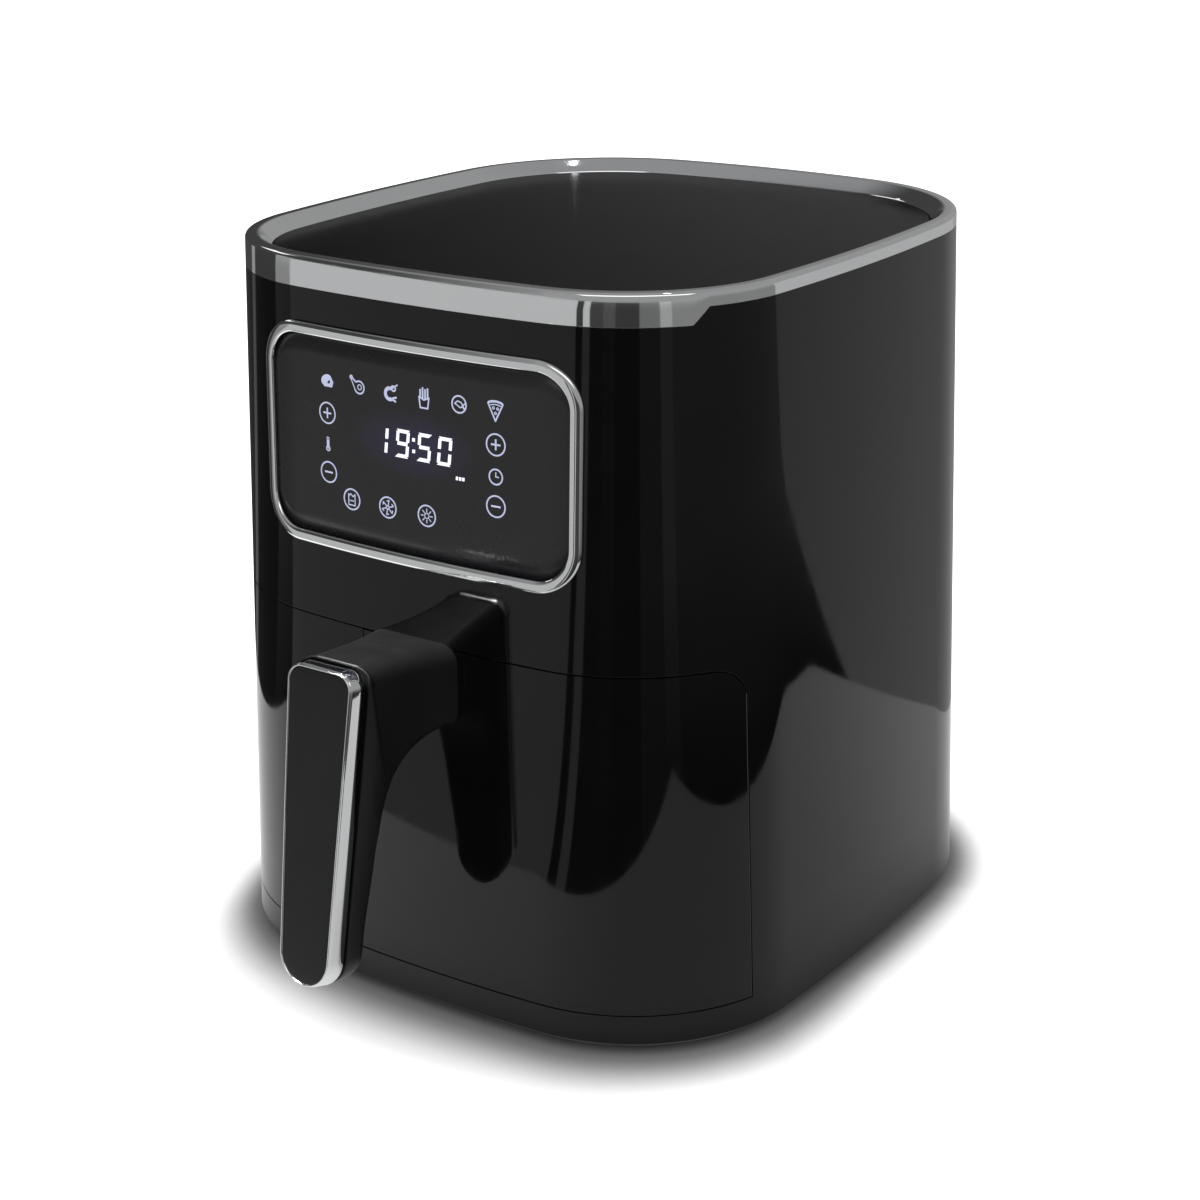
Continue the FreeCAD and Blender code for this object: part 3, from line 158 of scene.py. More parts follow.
class Columns:
    """Upright lines round the body: each keeps its x or y as the body widens downwards."""

    def __init__(self, marks, spacing=COLUMN_STEP):
        pairs = sorted(marks)
        first, last = [], []
        for (a0, a1), (b0, b1) in zip(pairs, pairs[1:]):
            ends = outline(np.linspace(a0, b0, 12), 0.0)
            length = np.hypot(np.diff(ends[0]), np.diff(ends[1])).sum()
            count = max(1, int(round(length / spacing)))
            steps = np.arange(count) / count
            first += list(a0 + (b0 - a0) * steps)
            last += list(a1 + (b1 - a1) * steps)
        first.append(pairs[-1][0])
        last.append(pairs[-1][1])
        sides = np.array(first), np.array(last)
        self.top, self.floor = [np.concatenate([-side[:0:-1], side]) for side in sides]

    def at(self, z, inset=0.0):
        """x and y of every column at its own height z."""
        grow = growth(z)
        u = self.top + (self.floor - self.top) * grow / TAPER
        return outline(u, grow - inset)


def joints_between_arcs():
    return [(float(k), float(k)) for k in range(len(ARCS) + 1)]


# ======================= mesh helpers =======================
def make_object(name, vertices, faces, body, material, smooth=True):
    """Object from points in millimetres about the body's middle; faces face outwards."""
    points = np.asarray(vertices, float).copy()
    points[:, 1] += BODY_Y
    mesh = bpy.data.meshes.new(name)
    mesh.from_pydata((points * MM).tolist(), [], [list(map(int, f)) for f in faces])
    mesh.validate()
    shape = bmesh.new()
    shape.from_mesh(mesh)
    loose = [v for v in shape.verts if not v.link_faces]
    bmesh.ops.delete(shape, geom=loose, context="VERTS")
    bmesh.ops.recalc_face_normals(shape, faces=shape.faces)
    shape.to_mesh(mesh)
    shape.free()
    mesh.polygons.foreach_set("use_smooth", [smooth] * len(mesh.polygons))
    mesh.materials.append(material)
    piece = bpy.data.objects.new(name, mesh)
    bpy.context.scene.collection.objects.link(piece)
    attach(piece, body)
    return piece


def add_bevel(piece, width, angle=50.0):
    """Rounds every edge sharper than the angle; width in millimetres."""
    bevel = piece.modifiers.new("edge_round", "BEVEL")
    bevel.width = width * MM
    bevel.segments = ROUND_STEPS
    bevel.limit_method = "ANGLE"
    bevel.angle_limit = math.radians(angle)
    bevel.harden_normals = True
    bevel.miter_outer = "MITER_ARC"


def grid_faces(rows, columns, closed=False, keep=None):
    """Quads of a rows x columns lattice of points, row by row."""
    faces = []
    for i in range(rows - 1):
        for j in range(columns if closed else columns - 1):
            if keep is not None and not keep(i, j):
                continue
            k = (j + 1) % columns
            faces.append((i * columns + j, i * columns + k, (i + 1) * columns + k, (i + 1) * columns + j))
    return faces


def ring_solid(rows):
    """Points and faces of a closed ring: closed rows of points, the last joined to the first."""
    count = len(rows[0])
    faces = grid_faces(len(rows) + 1, count, closed=True)
    total = len(rows) * count
    return np.concatenate(rows), [tuple(i % total for i in face) for face in faces]


def capped_solid(rows):
    """Points and faces of a closed body: closed rows of points with a face over each end."""
    count = len(rows[0])
    last = (len(rows) - 1) * count
    caps = [tuple(reversed(range(count))), tuple(range(last, last + count))]
    return np.concatenate(rows), grid_faces(len(rows), count, closed=True) + caps


def arcs_path(arcs, inset, least_steps, spacing, run_spacing):
    """Closed path of arcs (centre, radius, first, last angle) and the straight runs between them.

    Returns the points, moved inwards by inset, and their outward directions. The number of
    points is the same at every inset.
    """
    def at(centre, radius, angle):
        direction = np.array([math.cos(angle), math.sin(angle)])
        return np.array(centre) + (radius - inset) * direction, direction

    spots = []
    for index, (centre, radius, first, last) in enumerate(arcs):
        steps = max(least_steps, int(radius * (last - first) / spacing))
        spots += [at(centre, radius, first + (last - first) * k / steps) for k in range(steps + 1)]
        here = spots[-1][0]
        following, direction = at(*arcs[(index + 1) % len(arcs)][:3])
        count = max(2, int(np.linalg.norm(following - here) / run_spacing))
        spots += [(here + (following - here) * k / count, direction) for k in range(1, count)]
    points, normals = zip(*spots)
    return np.array(points), np.array(normals)


def open_edges(faces):
    """Directed edges that belong to one face only."""
    edges = dict.fromkeys(edge for face in faces for edge in zip(face, face[1:] + face[:1]))
    return [(a, b) for a, b in edges if (b, a) not in edges]


def level_rows(levels):
    """Heights of the rows of points, at most about ROW_STEP apart, and the block each one opens."""
    heights, blocks = [], []
    for block, (low, high) in enumerate(zip(levels, levels[1:])):
        count = max(2, int(np.max(high - low) / ROW_STEP))
        heights += [low + (high - low) * step / count for step in range(count)]
        blocks += [block] * count
    return heights + [levels[-1]], blocks


def thick_skin(columns, levels, present, thickness, inset=0.0, closed=False):
    """Closed shell on the body outline.

    levels is a list of heights per column; present(block, j) says whether the patch
    between two levels exists.
    """
    heights, blocks = level_rows(levels)
    count = len(heights[0])
    points = []
    for depth in (inset, inset + thickness):
        for z in heights:
            x, y = columns.at(z, depth)
            points.append(np.stack([x, y, z], 1))
    outer = grid_faces(len(heights), count, closed, lambda i, j: present(blocks[i], j))
    offset = len(heights) * count
    inner = [tuple(offset + i for i in reversed(face)) for face in outer]
    rim = [(b, a, offset + a, offset + b) for a, b in open_edges(outer)]
    return np.concatenate(points), outer + inner + rim


# ======================= housing =======================
SETTLE_ROUNDS = 6


def zone_top(y, gap):
    """Upper edge of the drawer opening as a function of y, with its rounded rear corner."""
    radius = OPENING_CORNER - gap
    centre = OPENING_Y - gap - radius
    high = OPENING_Z[1] - gap
    reach = np.clip((y - centre) / radius, 0.0, 1.0)
    return high - radius + radius * np.sqrt(1.0 - reach ** 2)


def settle_top(columns, gap):
    """Height at which each column meets the opening's upper edge."""
    z = np.full(len(columns.top), OPENING_Z[1] - gap)
    for _ in range(SETTLE_ROUNDS):
        z = zone_top(columns.at(z)[1], gap)
    return z


def quarter_sines(steps):
    return [math.sin(math.pi / 2 * k / steps) for k in range(steps + 1)]


def opening_marks(gap):
    radius = OPENING_CORNER - gap
    centre = OPENING_Y - gap - radius
    return [mark(1, centre + radius * s, SIDE_Y) for s in quarter_sines(9)]


def window_marks(gap):
    corner = WINDOW_CORNER - gap
    centre = WINDOW_HALF - gap - corner
    return [mark(0, centre + corner * s, FRONT_X) for s in quarter_sines(8)]


def arch(x, centre, radius):
    """Rise of a corner arc beyond its centre."""
    reach = np.clip((np.abs(x) - centre) / radius, 0.0, 1.0)
    return radius * np.sqrt(1.0 - reach ** 2)


def trim_edge(y):
    low, high = TRIM_STEP_Y
    share = np.clip((y - low) / (high - low), 0.0, 1.0)
    return TRIM_FRONT_Z + (TRIM_SIDE_Z - TRIM_FRONT_Z) * share


def inside(columns, test):
    """For each patch between neighbouring columns: is its middle inside?"""
    u = columns.top
    following = np.roll(u, -1)
    following[-1] = WHOLE * 2 + u[0]
    return test((u + following) / 2)


def build_housing(material):
    marks = joints_between_arcs() + window_marks(0.0) + opening_marks(0.0)
    marks += [mark(1, y, SIDE_Y) for y in TRIM_STEP_Y]
    inner_x = GRILLE_HALF - GRILLE_CORNER
    marks += [rear_mark(inner_x + GRILLE_CORNER * s) for s in quarter_sines(4)]
    columns = Columns(marks)
    drop_last(columns)
    count = len(columns.top)
    u = np.abs(columns.top)
    opening = mark(1, OPENING_Y, SIDE_Y)[0]
    window = mark(0, WINDOW_HALF, FRONT_X)[0]
    grille = rear_mark(GRILLE_HALF)[0]

    tops = np.where(u <= opening + 1e-9, settle_top(columns, 0.0), OPENING_Z[1] - OPENING_CORNER)
    x_low = columns.at(np.full(count, WINDOW_Z[0]))[0]
    rise = arch(x_low, WINDOW_HALF - WINDOW_CORNER, WINDOW_CORNER)
    rise = np.where(u <= window + 1e-9, rise, 0.0)
    rear_rise = np.where(u >= grille - 1e-9, arch(x_low, inner_x, GRILLE_CORNER), 0.0)
    blend_back = np.clip((u - SIDE_ARC[0]) / (SIDE_ARC[1] - SIDE_ARC[0]), 0.0, 1.0)
    low_front, high_front = WINDOW_Z[0] + WINDOW_CORNER, WINDOW_Z[1] - WINDOW_CORNER
    low_rear, high_rear = GRILLE_Z[0] + GRILLE_CORNER, GRILLE_Z[1] - GRILLE_CORNER
    low_edge = low_front + (low_rear - low_front) * blend_back - rise - rear_rise
    high_edge = high_front + (high_rear - high_front) * blend_back + rise + rear_rise
    top_edge = trim_edge(columns.at(np.full(count, TRIM_FRONT_Z))[1])
    levels = [np.full(count, BASE_TOP), np.full(count, OPENING_Z[0]), tops, low_edge, high_edge, top_edge]

    in_opening = inside(columns, lambda m: np.abs(m) < opening)
    in_window = inside(columns, lambda m: np.abs(m) < window)
    in_grille = inside(columns, lambda m: (np.abs(m) > grille) & (np.abs(m) < 2 * WHOLE - grille))

    def present(block, j):
        if block == 1:
            return not in_opening[j]
        if block == 3:
            return not (in_window[j] or in_grille[j])
        return True

    points, faces = thick_skin(columns, levels, present, WALL, closed=True)
    piece = make_object("housing_shell", points, faces, "housing", material)
    add_bevel(piece, EDGE_ROUND)
    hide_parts("outer_housing")


def drop_last(columns):
    """A closed run of columns keeps only one of the two that meet at the back."""
    columns.top = columns.top[:-1]
    columns.floor = columns.floor[:-1]


CREST_EDGE, CREST_ROUND, ROUND_PARTS = 1.6, 2.2, 5      # radii of the crest's outer and inner edge
CREST_FLAT_END, LIP, LIP_DROP = 1.2, 0.4, 0.3


def ring_profile(z_low):
    """Section of the top trim as (inset, z), with rounded crest edges."""
    edge_z = HEIGHT - CREST_EDGE
    outer = [(0.0, z_low), (0.0, (z_low + HEIGHT) / 2), (0.0, edge_z)]
    for k in range(1, ROUND_PARTS + 1):
        a = math.pi / 2 * k / ROUND_PARTS
        outer.append((CREST_EDGE - CREST_EDGE * math.cos(a), edge_z + CREST_EDGE * math.sin(a)))
    outer.append(((CREST_EDGE + CREST_INSET - CREST_FLAT_END) / 2, HEIGHT))
    drop, run = HEIGHT - SLOPE_Z, SLOPE_INSET - CREST_INSET
    slope = math.atan2(drop, run)
    start = CREST_INSET - CREST_ROUND * math.tan(slope / 2)
    for k in range(ROUND_PARTS + 1):
        a = slope * k / ROUND_PARTS
        outer.append((start + CREST_ROUND * math.sin(a), HEIGHT - CREST_ROUND + CREST_ROUND * math.cos(a)))
    outer.append((SLOPE_INSET - LIP, SLOPE_Z + LIP * drop / run))
    outer.append((SLOPE_INSET, SLOPE_Z - LIP_DROP))
    outer += [(SLOPE_INSET, FLANGE_Z), (WALL, FLANGE_Z), (WALL, z_low)]
    return outer


def build_top_ring(material):
    marks = joints_between_arcs() + [mark(1, y, SIDE_Y) for y in TRIM_STEP_Y]
    columns = Columns(marks, RING_STEP)
    drop_last(columns)
    y = columns.at(np.full(len(columns.top), TRIM_FRONT_Z))[1]
    profiles = np.array([ring_profile(z) for z in trim_edge(y)])
    rows = []
    for k in range(profiles.shape[1]):
        inset, z = profiles[:, k, 0], profiles[:, k, 1]
        px, py = columns.at(z, inset)
        rows.append(np.stack([px, py, z], 1))
    points, faces = ring_solid(rows)
    piece = make_object("top_ring_trim", points, faces, "housing", material)
    add_bevel(piece, FINE_ROUND, angle=60.0)
    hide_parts("top_trim_ring")


# ======================= panel =======================
def front_point(x, z, lift=0.0):
    """Point on the front wall at x, z, raised outwards by lift; returns (x, y, z)."""
    x, z = np.asarray(x, float), np.asarray(z, float)
    grow = growth(z) + lift
    cx, cy, radius = ARCS[1][0], ARCS[1][1], ARCS[1][2]
    turn = cx / (ARCS[0][2] - radius)
    limit = cx + (radius + grow) * turn
    wide = ARCS[0][1] - np.sqrt((ARCS[0][2] + grow) ** 2 - x ** 2)
    side = np.clip((radius + grow) ** 2 - (np.abs(x) - cx) ** 2, 0.0, None)
    corner = cy - np.sqrt(side)
    y = np.where(np.abs(x) <= limit, wide, corner)
    return np.stack([x + 0 * z, y, z + 0 * x], -1)


def rounded_path(half, z_range, radius):
    """Rounded rectangle in the x-z plane with outward directions, counter-clockwise from the front."""
    middle, reach = sum(z_range) / 2, (z_range[1] - z_range[0]) / 2 - radius
    arcs = []
    for quarter, (sx, sz) in enumerate(((1, 1), (-1, 1), (-1, -1), (1, -1))):
        first = math.pi / 2 * quarter
        arcs.append(((sx * (half - radius), middle + sz * reach), radius, first, first + math.pi / 2))
    return arcs_path(arcs, 0.0, 8, 1.0, 2.5)


# half of the bezel's crowned section: inset from its outer edge, height above the wall
BEZEL_CROWN = [(0.0, -0.3), (0.0, 0.9), (0.25, 1.45), (0.7, 1.8), (1.4, 1.97), (BEZEL_BAR / 2, BEZEL_PROUD)]
GLASS_GAP, GLASS_INSET = 0.15, 0.05


def build_bezel(material):
    path, normal = rounded_path(BEZEL_HALF, BEZEL_Z, BEZEL_CORNER)
    mirrored = [(BEZEL_BAR - inset, lift) for inset, lift in reversed(BEZEL_CROWN[:-1])]
    rows = []
    for inset, lift in BEZEL_CROWN + mirrored:
        spot = path - normal * inset
        rows.append(front_point(spot[:, 0], spot[:, 1], lift))
    points, faces = ring_solid(rows)
    piece = make_object("panel_bezel", points, faces, "housing", material)
    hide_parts("control_bezel")


def build_glass(material):
    corner = WINDOW_CORNER - GLASS_GAP
    low, high = WINDOW_Z[0] + GLASS_GAP, WINDOW_Z[1] - GLASS_GAP
    columns = Columns([(0.0, 0.0)] + window_marks(GLASS_GAP))
    x = columns.at(np.full(len(columns.top), low))[0]
    rise = arch(x, WINDOW_HALF - GLASS_GAP - corner, corner)
    levels = [low + corner - rise, high - corner + rise]
    points, faces = thick_skin(columns, levels, lambda block, j: True, WALL, inset=GLASS_INSET)
    piece = make_object("panel_window", points, faces, "housing", material)
    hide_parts("control_glass")


# ======================= lit symbols =======================
ICON_PITCH, ICON_TOP_Z, ICON_LOW_Z = 16.7, 262.0, 215.2
ICON_LEFT, ICON_RIGHT = -42.8, 40.8
PLUS_Z, MODE_Z, MINUS_Z = 248.6, 236.0, 224.3
LOW_ICON_X = (-30.5, -11.6, 8.0)


LINE_WIDTH, LINE_OVERRUN, CIRCLE_DENSITY = 0.65, 0.35, 7      # the overrun is a share of the width
SYMBOL_LIFT = 0.04
SIGN_RADIUS = 4.2
SEGMENTS = {"0": "abcdef", "1": "bc", "5": "acdfg", "9": "abcdfg"}
DIGIT_W, DIGIT_H, DIGIT_LEAN, DIGIT_BAR, DIGIT_GAP = 6.6, 11.4, 0.10, 1.45, 0.06
DIGITS_SHOWN, DIGIT_X, DIGIT_Z = "1950", (-14.2, -3.6, 7.2, 17.0), 242.4
DOT_HEIGHT, DOT_LEAN = 1.4, 0.1
COLON_X, COLON_LOW_Z, COLON_DOT = 1.2, (244.1, 239.5), 1.4
UNIT_X, UNIT_LOW_Z, UNIT_DOT, UNIT_PITCH = 22.2, 232.0, 1.1, 1.5
HALO_CENTRE = (0.0015, (BODY_Y - 142.0) * MM, 0.2424)        # metres
HALO_HALF, HALO_COLOUR, HALO_STRENGTH = (0.032, 0.03, 0.014), (0.32, 0.25, 1.0), 0.035


class Drawing:
    """Flat strokes on the panel, a hair above the glass, drawn about a movable origin."""

    def __init__(self):
        self.points, self.faces = [], []
        self.origin = (0.0, 0.0)

    def polygon(self, corners):
        start = len(self.points)
        self.points += [(self.origin[0] + x, self.origin[1] + z) for x, z in corners]
        self.faces.append(tuple(range(start, start + len(corners))))

    def stroke(self, path, width=LINE_WIDTH):
        path = [np.array(p, float) for p in path]
        for a, b in zip(path, path[1:]):
            run = (b - a) / np.hypot(*(b - a))
            side = np.array([-run[1], run[0]]) * width / 2
            ahead = run * width * LINE_OVERRUN
            self.polygon([a - side - ahead, b - side + ahead, b + side + ahead, a + side - ahead])

    def circle(self, radius, width=LINE_WIDTH, centre=(0.0, 0.0), start=0.0, end=360.0):
        steps = max(10, int(radius * CIRCLE_DENSITY))
        angles = [math.radians(start + (end - start) * k / steps) for k in range(steps + 1)]
        for a0, a1 in zip(angles, angles[1:]):
            corners = []
            for angle, reach in ((a0, -1), (a1, -1), (a1, 1), (a0, 1)):
                r = radius + reach * width / 2
                corners.append((centre[0] + r * math.cos(angle), centre[1] + r * math.sin(angle)))
            self.polygon(corners)

    def build(self, name, material):
        spots = np.array(self.points)
        points = front_point(spots[:, 0], spots[:, 1], SYMBOL_LIFT)
        piece = make_object(name, points, self.faces, "housing", material, smooth=False)


def draw_drumstick(pen):
    pen.circle(2.5, centre=(0.8, -0.4), start=-150.0, end=130.0)
    pen.stroke([(-1.0, 1.6), (-3.0, 3.2)], 0.7)
    pen.stroke([(-1.4, -1.6), (-3.4, 2.6)], 0.5)
    pen.circle(0.6, centre=(-3.3, 3.2))
    pen.circle(1.0, 0.45, centre=(1.0, -0.3))


def draw_roast(pen):
    """Whole roast bird seen from the side: a filled half body, and its back and leg as lines."""
    pen.polygon([(2.9 * math.cos(a), 2.3 * math.sin(a) + 0.5 * math.cos(a)) for a in np.linspace(0.5, 4.4, 22)])
    pen.stroke([(-1.2, -2.2), (2.6, -2.2), (3.2, -0.6), (2.2, 1.0)], 0.9)
    pen.circle(1.2, 0.7, centre=(1.1, -0.5))


def draw_prawn(pen):
    pen.circle(2.2, 1.5, centre=(-0.2, -0.6), start=95.0, end=300.0)
    pen.circle(1.0, 0.7, centre=(1.7, 1.7))
    pen.stroke([(0.0, 1.5), (1.2, 2.2)], 1.3)
    pen.stroke([(2.3, 2.4), (3.6, 3.4)], 0.6)
    pen.stroke([(0.9, -2.6), (2.6, -3.3)], 0.8)
    pen.stroke([(1.3, -2.2), (3.0, -1.7)], 0.8)


def draw_fries(pen):
    pen.stroke([(-2.4, 0.4), (-1.8, -3.8), (1.8, -3.8), (2.4, 0.4)])
    pen.stroke([(-2.4, 0.4), (0.0, -0.6), (2.4, 0.4)])
    for x, top in ((-1.8, 3.2), (-0.6, 4.0), (0.6, 3.4), (1.8, 3.9)):
        pen.stroke([(x, 0.0), (x, top)], 0.8)


def draw_fish(pen):
    pen.circle(3.3)
    pen.stroke([(-2.0, 0.2), (-0.6, 1.3), (1.0, 0.8), (2.0, -0.6), (0.6, -1.2), (-2.0, 0.2)], 0.5)
    pen.stroke([(1.6, -0.4), (2.8, 0.6)], 0.5)
    pen.stroke([(1.6, -0.6), (2.8, -1.9)], 0.7)


def draw_pizza(pen):
    pen.stroke([(-3.4, 2.6), (0.0, -4.2), (3.4, 2.6)])
    pen.circle(8.0, 0.9, centre=(0.0, -4.6), start=66.0, end=114.0)
    pen.circle(6.4, 0.45, centre=(0.0, -4.2), start=68.0, end=112.0)
    for spot in ((-0.9, 0.8), (1.0, 0.6), (0.0, -1.2)):
        pen.circle(0.45, 0.4, centre=spot)


def draw_minus(pen):
    pen.circle(SIGN_RADIUS)
    pen.stroke([(-1.9, 0.0), (1.9, 0.0)], 0.75)


def draw_plus(pen):
    draw_minus(pen)
    pen.stroke([(0.0, -1.9), (0.0, 1.9)], 0.75)


def draw_thermometer(pen):
    pen.circle(0.95, 0.6, centre=(0.0, -1.9))
    pen.stroke([(-0.5, -1.2), (-0.5, 2.6), (0.5, 2.6), (0.5, -1.2)], 0.4)
    pen.stroke([(0.0, -1.9), (0.0, 1.4)], 0.6)


def draw_clock(pen):
    pen.circle(3.0)
    pen.stroke([(0.0, 1.7), (0.0, 0.0), (1.3, 0.0)], 0.5)


def draw_timer(pen):
    pen.circle(SIGN_RADIUS)
    pen.stroke([(-1.7, 2.1), (-1.7, -2.4), (1.7, -2.4), (1.7, 2.1)], 0.5)
    pen.stroke([(-1.7, 1.2), (-0.6, 2.2), (0.6, 1.2), (1.7, 2.1)], 0.5)
    pen.stroke([(-1.0, -0.6), (1.0, -0.6)], 0.45)


def draw_fan(pen):
    pen.circle(SIGN_RADIUS)
    pen.circle(0.7, 0.5)
    for k in range(6):
        c, s = math.cos(math.pi / 3 * k + 0.3), math.sin(math.pi / 3 * k + 0.3)
        pen.stroke([(0.9 * c, 0.9 * s), (3.0 * c, 3.0 * s), (2.5 * c - 0.9 * s, 2.5 * s + 0.9 * c)], 0.5)


def draw_heat(pen):
    pen.circle(SIGN_RADIUS)
    pen.circle(1.1, 0.45)
    for k in range(8):
        c, s = math.cos(math.pi / 4 * k), math.sin(math.pi / 4 * k)
        pen.stroke([(1.7 * c, 1.7 * s), (2.8 * c, 2.8 * s)], 0.45)


def draw_digit(pen, digit):
    """Seven bars on a slightly leaning cell."""
    w, h, bar = DIGIT_W / 2, DIGIT_H / 2, DIGIT_BAR / 2
    side = w - bar - DIGIT_GAP

    def flat(z, skew):
        return [(-side - bar * skew, z + bar), (side + bar * skew, z + bar), (side - bar * skew, z - bar),
                (-side + bar * skew, z - bar)]

    def upright(x, z0, z1):
        low, high = z0 + bar + DIGIT_GAP, z1 - bar - DIGIT_GAP
        return [(x - bar, low), (x + bar, low), (x + bar, high), (x - bar, high)]

    shapes = {
        "a": flat(h - bar, 1.0), "g": flat(0.0, 0.0), "d": flat(-h + bar, -1.0),
        "b": upright(w - bar, 0.0, h), "c": upright(w - bar, -h, 0.0),
        "f": upright(-w + bar, 0.0, h), "e": upright(-w + bar, -h, 0.0),
    }
    for name in SEGMENTS[digit]:
        pen.polygon([(x + DIGIT_LEAN * z, z) for x, z in shapes[name]])


def draw_dot(pen, left, low, width):
    high = low + DOT_HEIGHT
    pen.polygon([(left, low), (left + width, low), (left + width + DOT_LEAN, high), (left + DOT_LEAN, high)])


def build_icons(material):
    meals = (draw_roast, draw_drumstick, draw_prawn, draw_fries, draw_fish, draw_pizza)
    layout = [(ICON_LEFT + ICON_PITCH * k, ICON_TOP_Z, maker) for k, maker in enumerate(meals)]
    for x in (ICON_LEFT, ICON_RIGHT):
        layout += [(x, PLUS_Z, draw_plus), (x, MINUS_Z, draw_minus)]
    layout += [(ICON_LEFT, MODE_Z, draw_thermometer), (ICON_RIGHT, MODE_Z, draw_clock)]
    layout += [(x, ICON_LOW_Z, maker) for x, maker in zip(LOW_ICON_X, (draw_timer, draw_fan, draw_heat))]
    pen = Drawing()
    for x, z, maker in layout:
        pen.origin = (x, z)
        maker(pen)
    pen.build("panel_icons", material)


def build_digits(material):
    pen = Drawing()
    for x, digit in zip(DIGIT_X, DIGITS_SHOWN):
        pen.origin = (x, DIGIT_Z)
        draw_digit(pen, digit)
    pen.origin = (0.0, 0.0)
    for low in COLON_LOW_Z:
        draw_dot(pen, COLON_X, low, COLON_DOT)
    for k in range(3):
        draw_dot(pen, UNIT_X + UNIT_PITCH * k, UNIT_LOW_Z, UNIT_DOT)
    pen.build("panel_digits", material)


# ======================= drawer =======================
NOTCH_GAP, FACE_FALL, FRONT_BACK = 0.2, 27.0, 0.5      # FACE_FALL: how far the row under the notch drops
ROOF_STEPS, FLOOR_STEPS, BACK_STEPS = 16, 6, 12
WELD = 0.02
ROOT_WALL, ROOT_ROUND = 3.0, 0.3


def roof_rows(columns, top, back_y):
    """Rows from the face's upper edge over the rounded corner to the back."""
    radius = OPENING_CORNER - SEAM
    bend = OPENING_Y - SEAM - radius
    x, y = columns.at(top)
    start = np.where(y < bend, y - bend, radius * np.arcsin(np.clip((y - bend) / radius, 0, 1)))
    end = radius * math.asin((back_y - bend) / radius)
    rows = []
    for k in range(1, ROOF_STEPS + 1):
        travel = start + (end - start) * k / ROOF_STEPS
        angle = np.clip(travel / radius, 0, math.pi / 2)
        over_y = np.where(travel < 0, bend + travel, bend + radius * np.sin(angle))
        over_z = OPENING_Z[1] - SEAM - radius + radius * np.cos(angle)
        rows.append(np.stack([x, over_y, over_z], 1))
    return rows


def between(first, last, steps):
    """Rows evenly between two rows, without the two themselves."""
    return [first + (last - first) * k / steps for k in range(1, steps)]


def build_drawer_front(material):
    notch = mark(0, NOTCH_HALF + NOTCH_GAP, FRONT_X)
    columns = Columns([(0.0, 0.0), (1.0, 1.0), notch] + opening_marks(SEAM))
    count = len(columns.top)
    top = settle_top(columns, SEAM)
    share = np.clip((np.abs(columns.top) - 1.0) / (columns.top[-1] - 1.0), 0.0, 1.0)
    middle = NOTCH_Z - NOTCH_GAP - FACE_FALL * share
    heights, blocks = level_rows([np.full(count, OPENING_Z[0] + SEAM), middle, top])
    back_y = OPENING_Y - SEAM - FRONT_BACK
    rows = [np.stack([*columns.at(z), z], 1) for z in heights] + roof_rows(columns, top, back_y)
    back_low = rows[0].copy()
    back_low[:, 1] = back_y
    under = between(back_low, rows[0], FLOOR_STEPS)
    lattice = rows + between(rows[-1], back_low, BACK_STEPS) + [back_low] + under
    total = len(lattice)
    middles = np.abs(columns.top[:-1] + columns.top[1:]) / 2

    def keep(i, j):
        return not (i < len(blocks) and blocks[i] == 1 and middles[j] < notch[0])

    faces = grid_faces(total, count, keep=keep)
    faces += [((total - 1) * count + j, (total - 1) * count + j + 1, j + 1, j) for j in range(count - 1)]
    faces += [tuple(i * count + j for i in range(total)) for j in (0, count - 1)]
    piece = make_object("drawer_front_shell", np.concatenate(lattice), faces, "drawer", material)
    weld(piece, WELD)
    add_bevel(piece, EDGE_ROUND)
    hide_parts("drawer_front")


def weld(piece, distance):
    shape = bmesh.new()
    shape.from_mesh(piece.data)
    bmesh.ops.remove_doubles(shape, verts=shape.verts, dist=distance * MM)
    bmesh.ops.recalc_face_normals(shape, faces=shape.faces)
    shape.to_mesh(piece.data)
    shape.free()


def build_root_plate(material):
    columns = Columns([(0.0, 0.0), mark(0, NOTCH_HALF, FRONT_X)])
    count = len(columns.top)
    levels = [np.full(count, NOTCH_Z), np.full(count, OPENING_Z[1] - SEAM)]
    points, faces = thick_skin(columns, levels, lambda block, j: True, ROOT_WALL)
    piece = make_object("handle_root_cover", points, faces, "drawer", material)
    add_bevel(piece, ROOT_ROUND)
    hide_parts("handle_root_plate")


# ======================= handle =======================
GRIP_LENGTH = float(np.linalg.norm(GRIP_HIGH - GRIP_LOW))
GRIP_UP = (GRIP_HIGH - GRIP_LOW) / GRIP_LENGTH
# section of the chrome band: inset from the outline, depth from the face
BAND_SECTION = [
    (0.0, -BAND_DEPTH + 0.4), (0.55, -4.4), (1.05, -1.5), (1.15, -1.1), (1.35, -0.8), (1.55, -0.55), (1.6, -0.15),
    (1.8, 0.0), (2.15, -0.05), (BAND_WIDTH + 0.4, -0.5), (BAND_WIDTH + 0.4, -1.6), (BAND_WIDTH, -1.7),
    (BAND_WIDTH, -BAND_DEPTH), (0.3, -BAND_DEPTH),
]
# rows of the inlay inside the band: inset past the band, depth
INLAY_ROWS = [(0.0, -1.6), (0.0, -0.75), (0.3, -0.5), (1.0, -0.42), (4.0, -0.38), (6.0, -0.36)]
INLAY_REACH, INLAY_SHRINK = GRIP_CORNER - 0.5, np.array([0.86, 1.0])
NECK_DEPTHS = (-BAND_DEPTH - GROOVE - 1.0, -BAND_DEPTH, -1.3)
CORE_FACE = -BAND_DEPTH - GROOVE
ARM_ROOT = np.array([-138.0, 163.2])
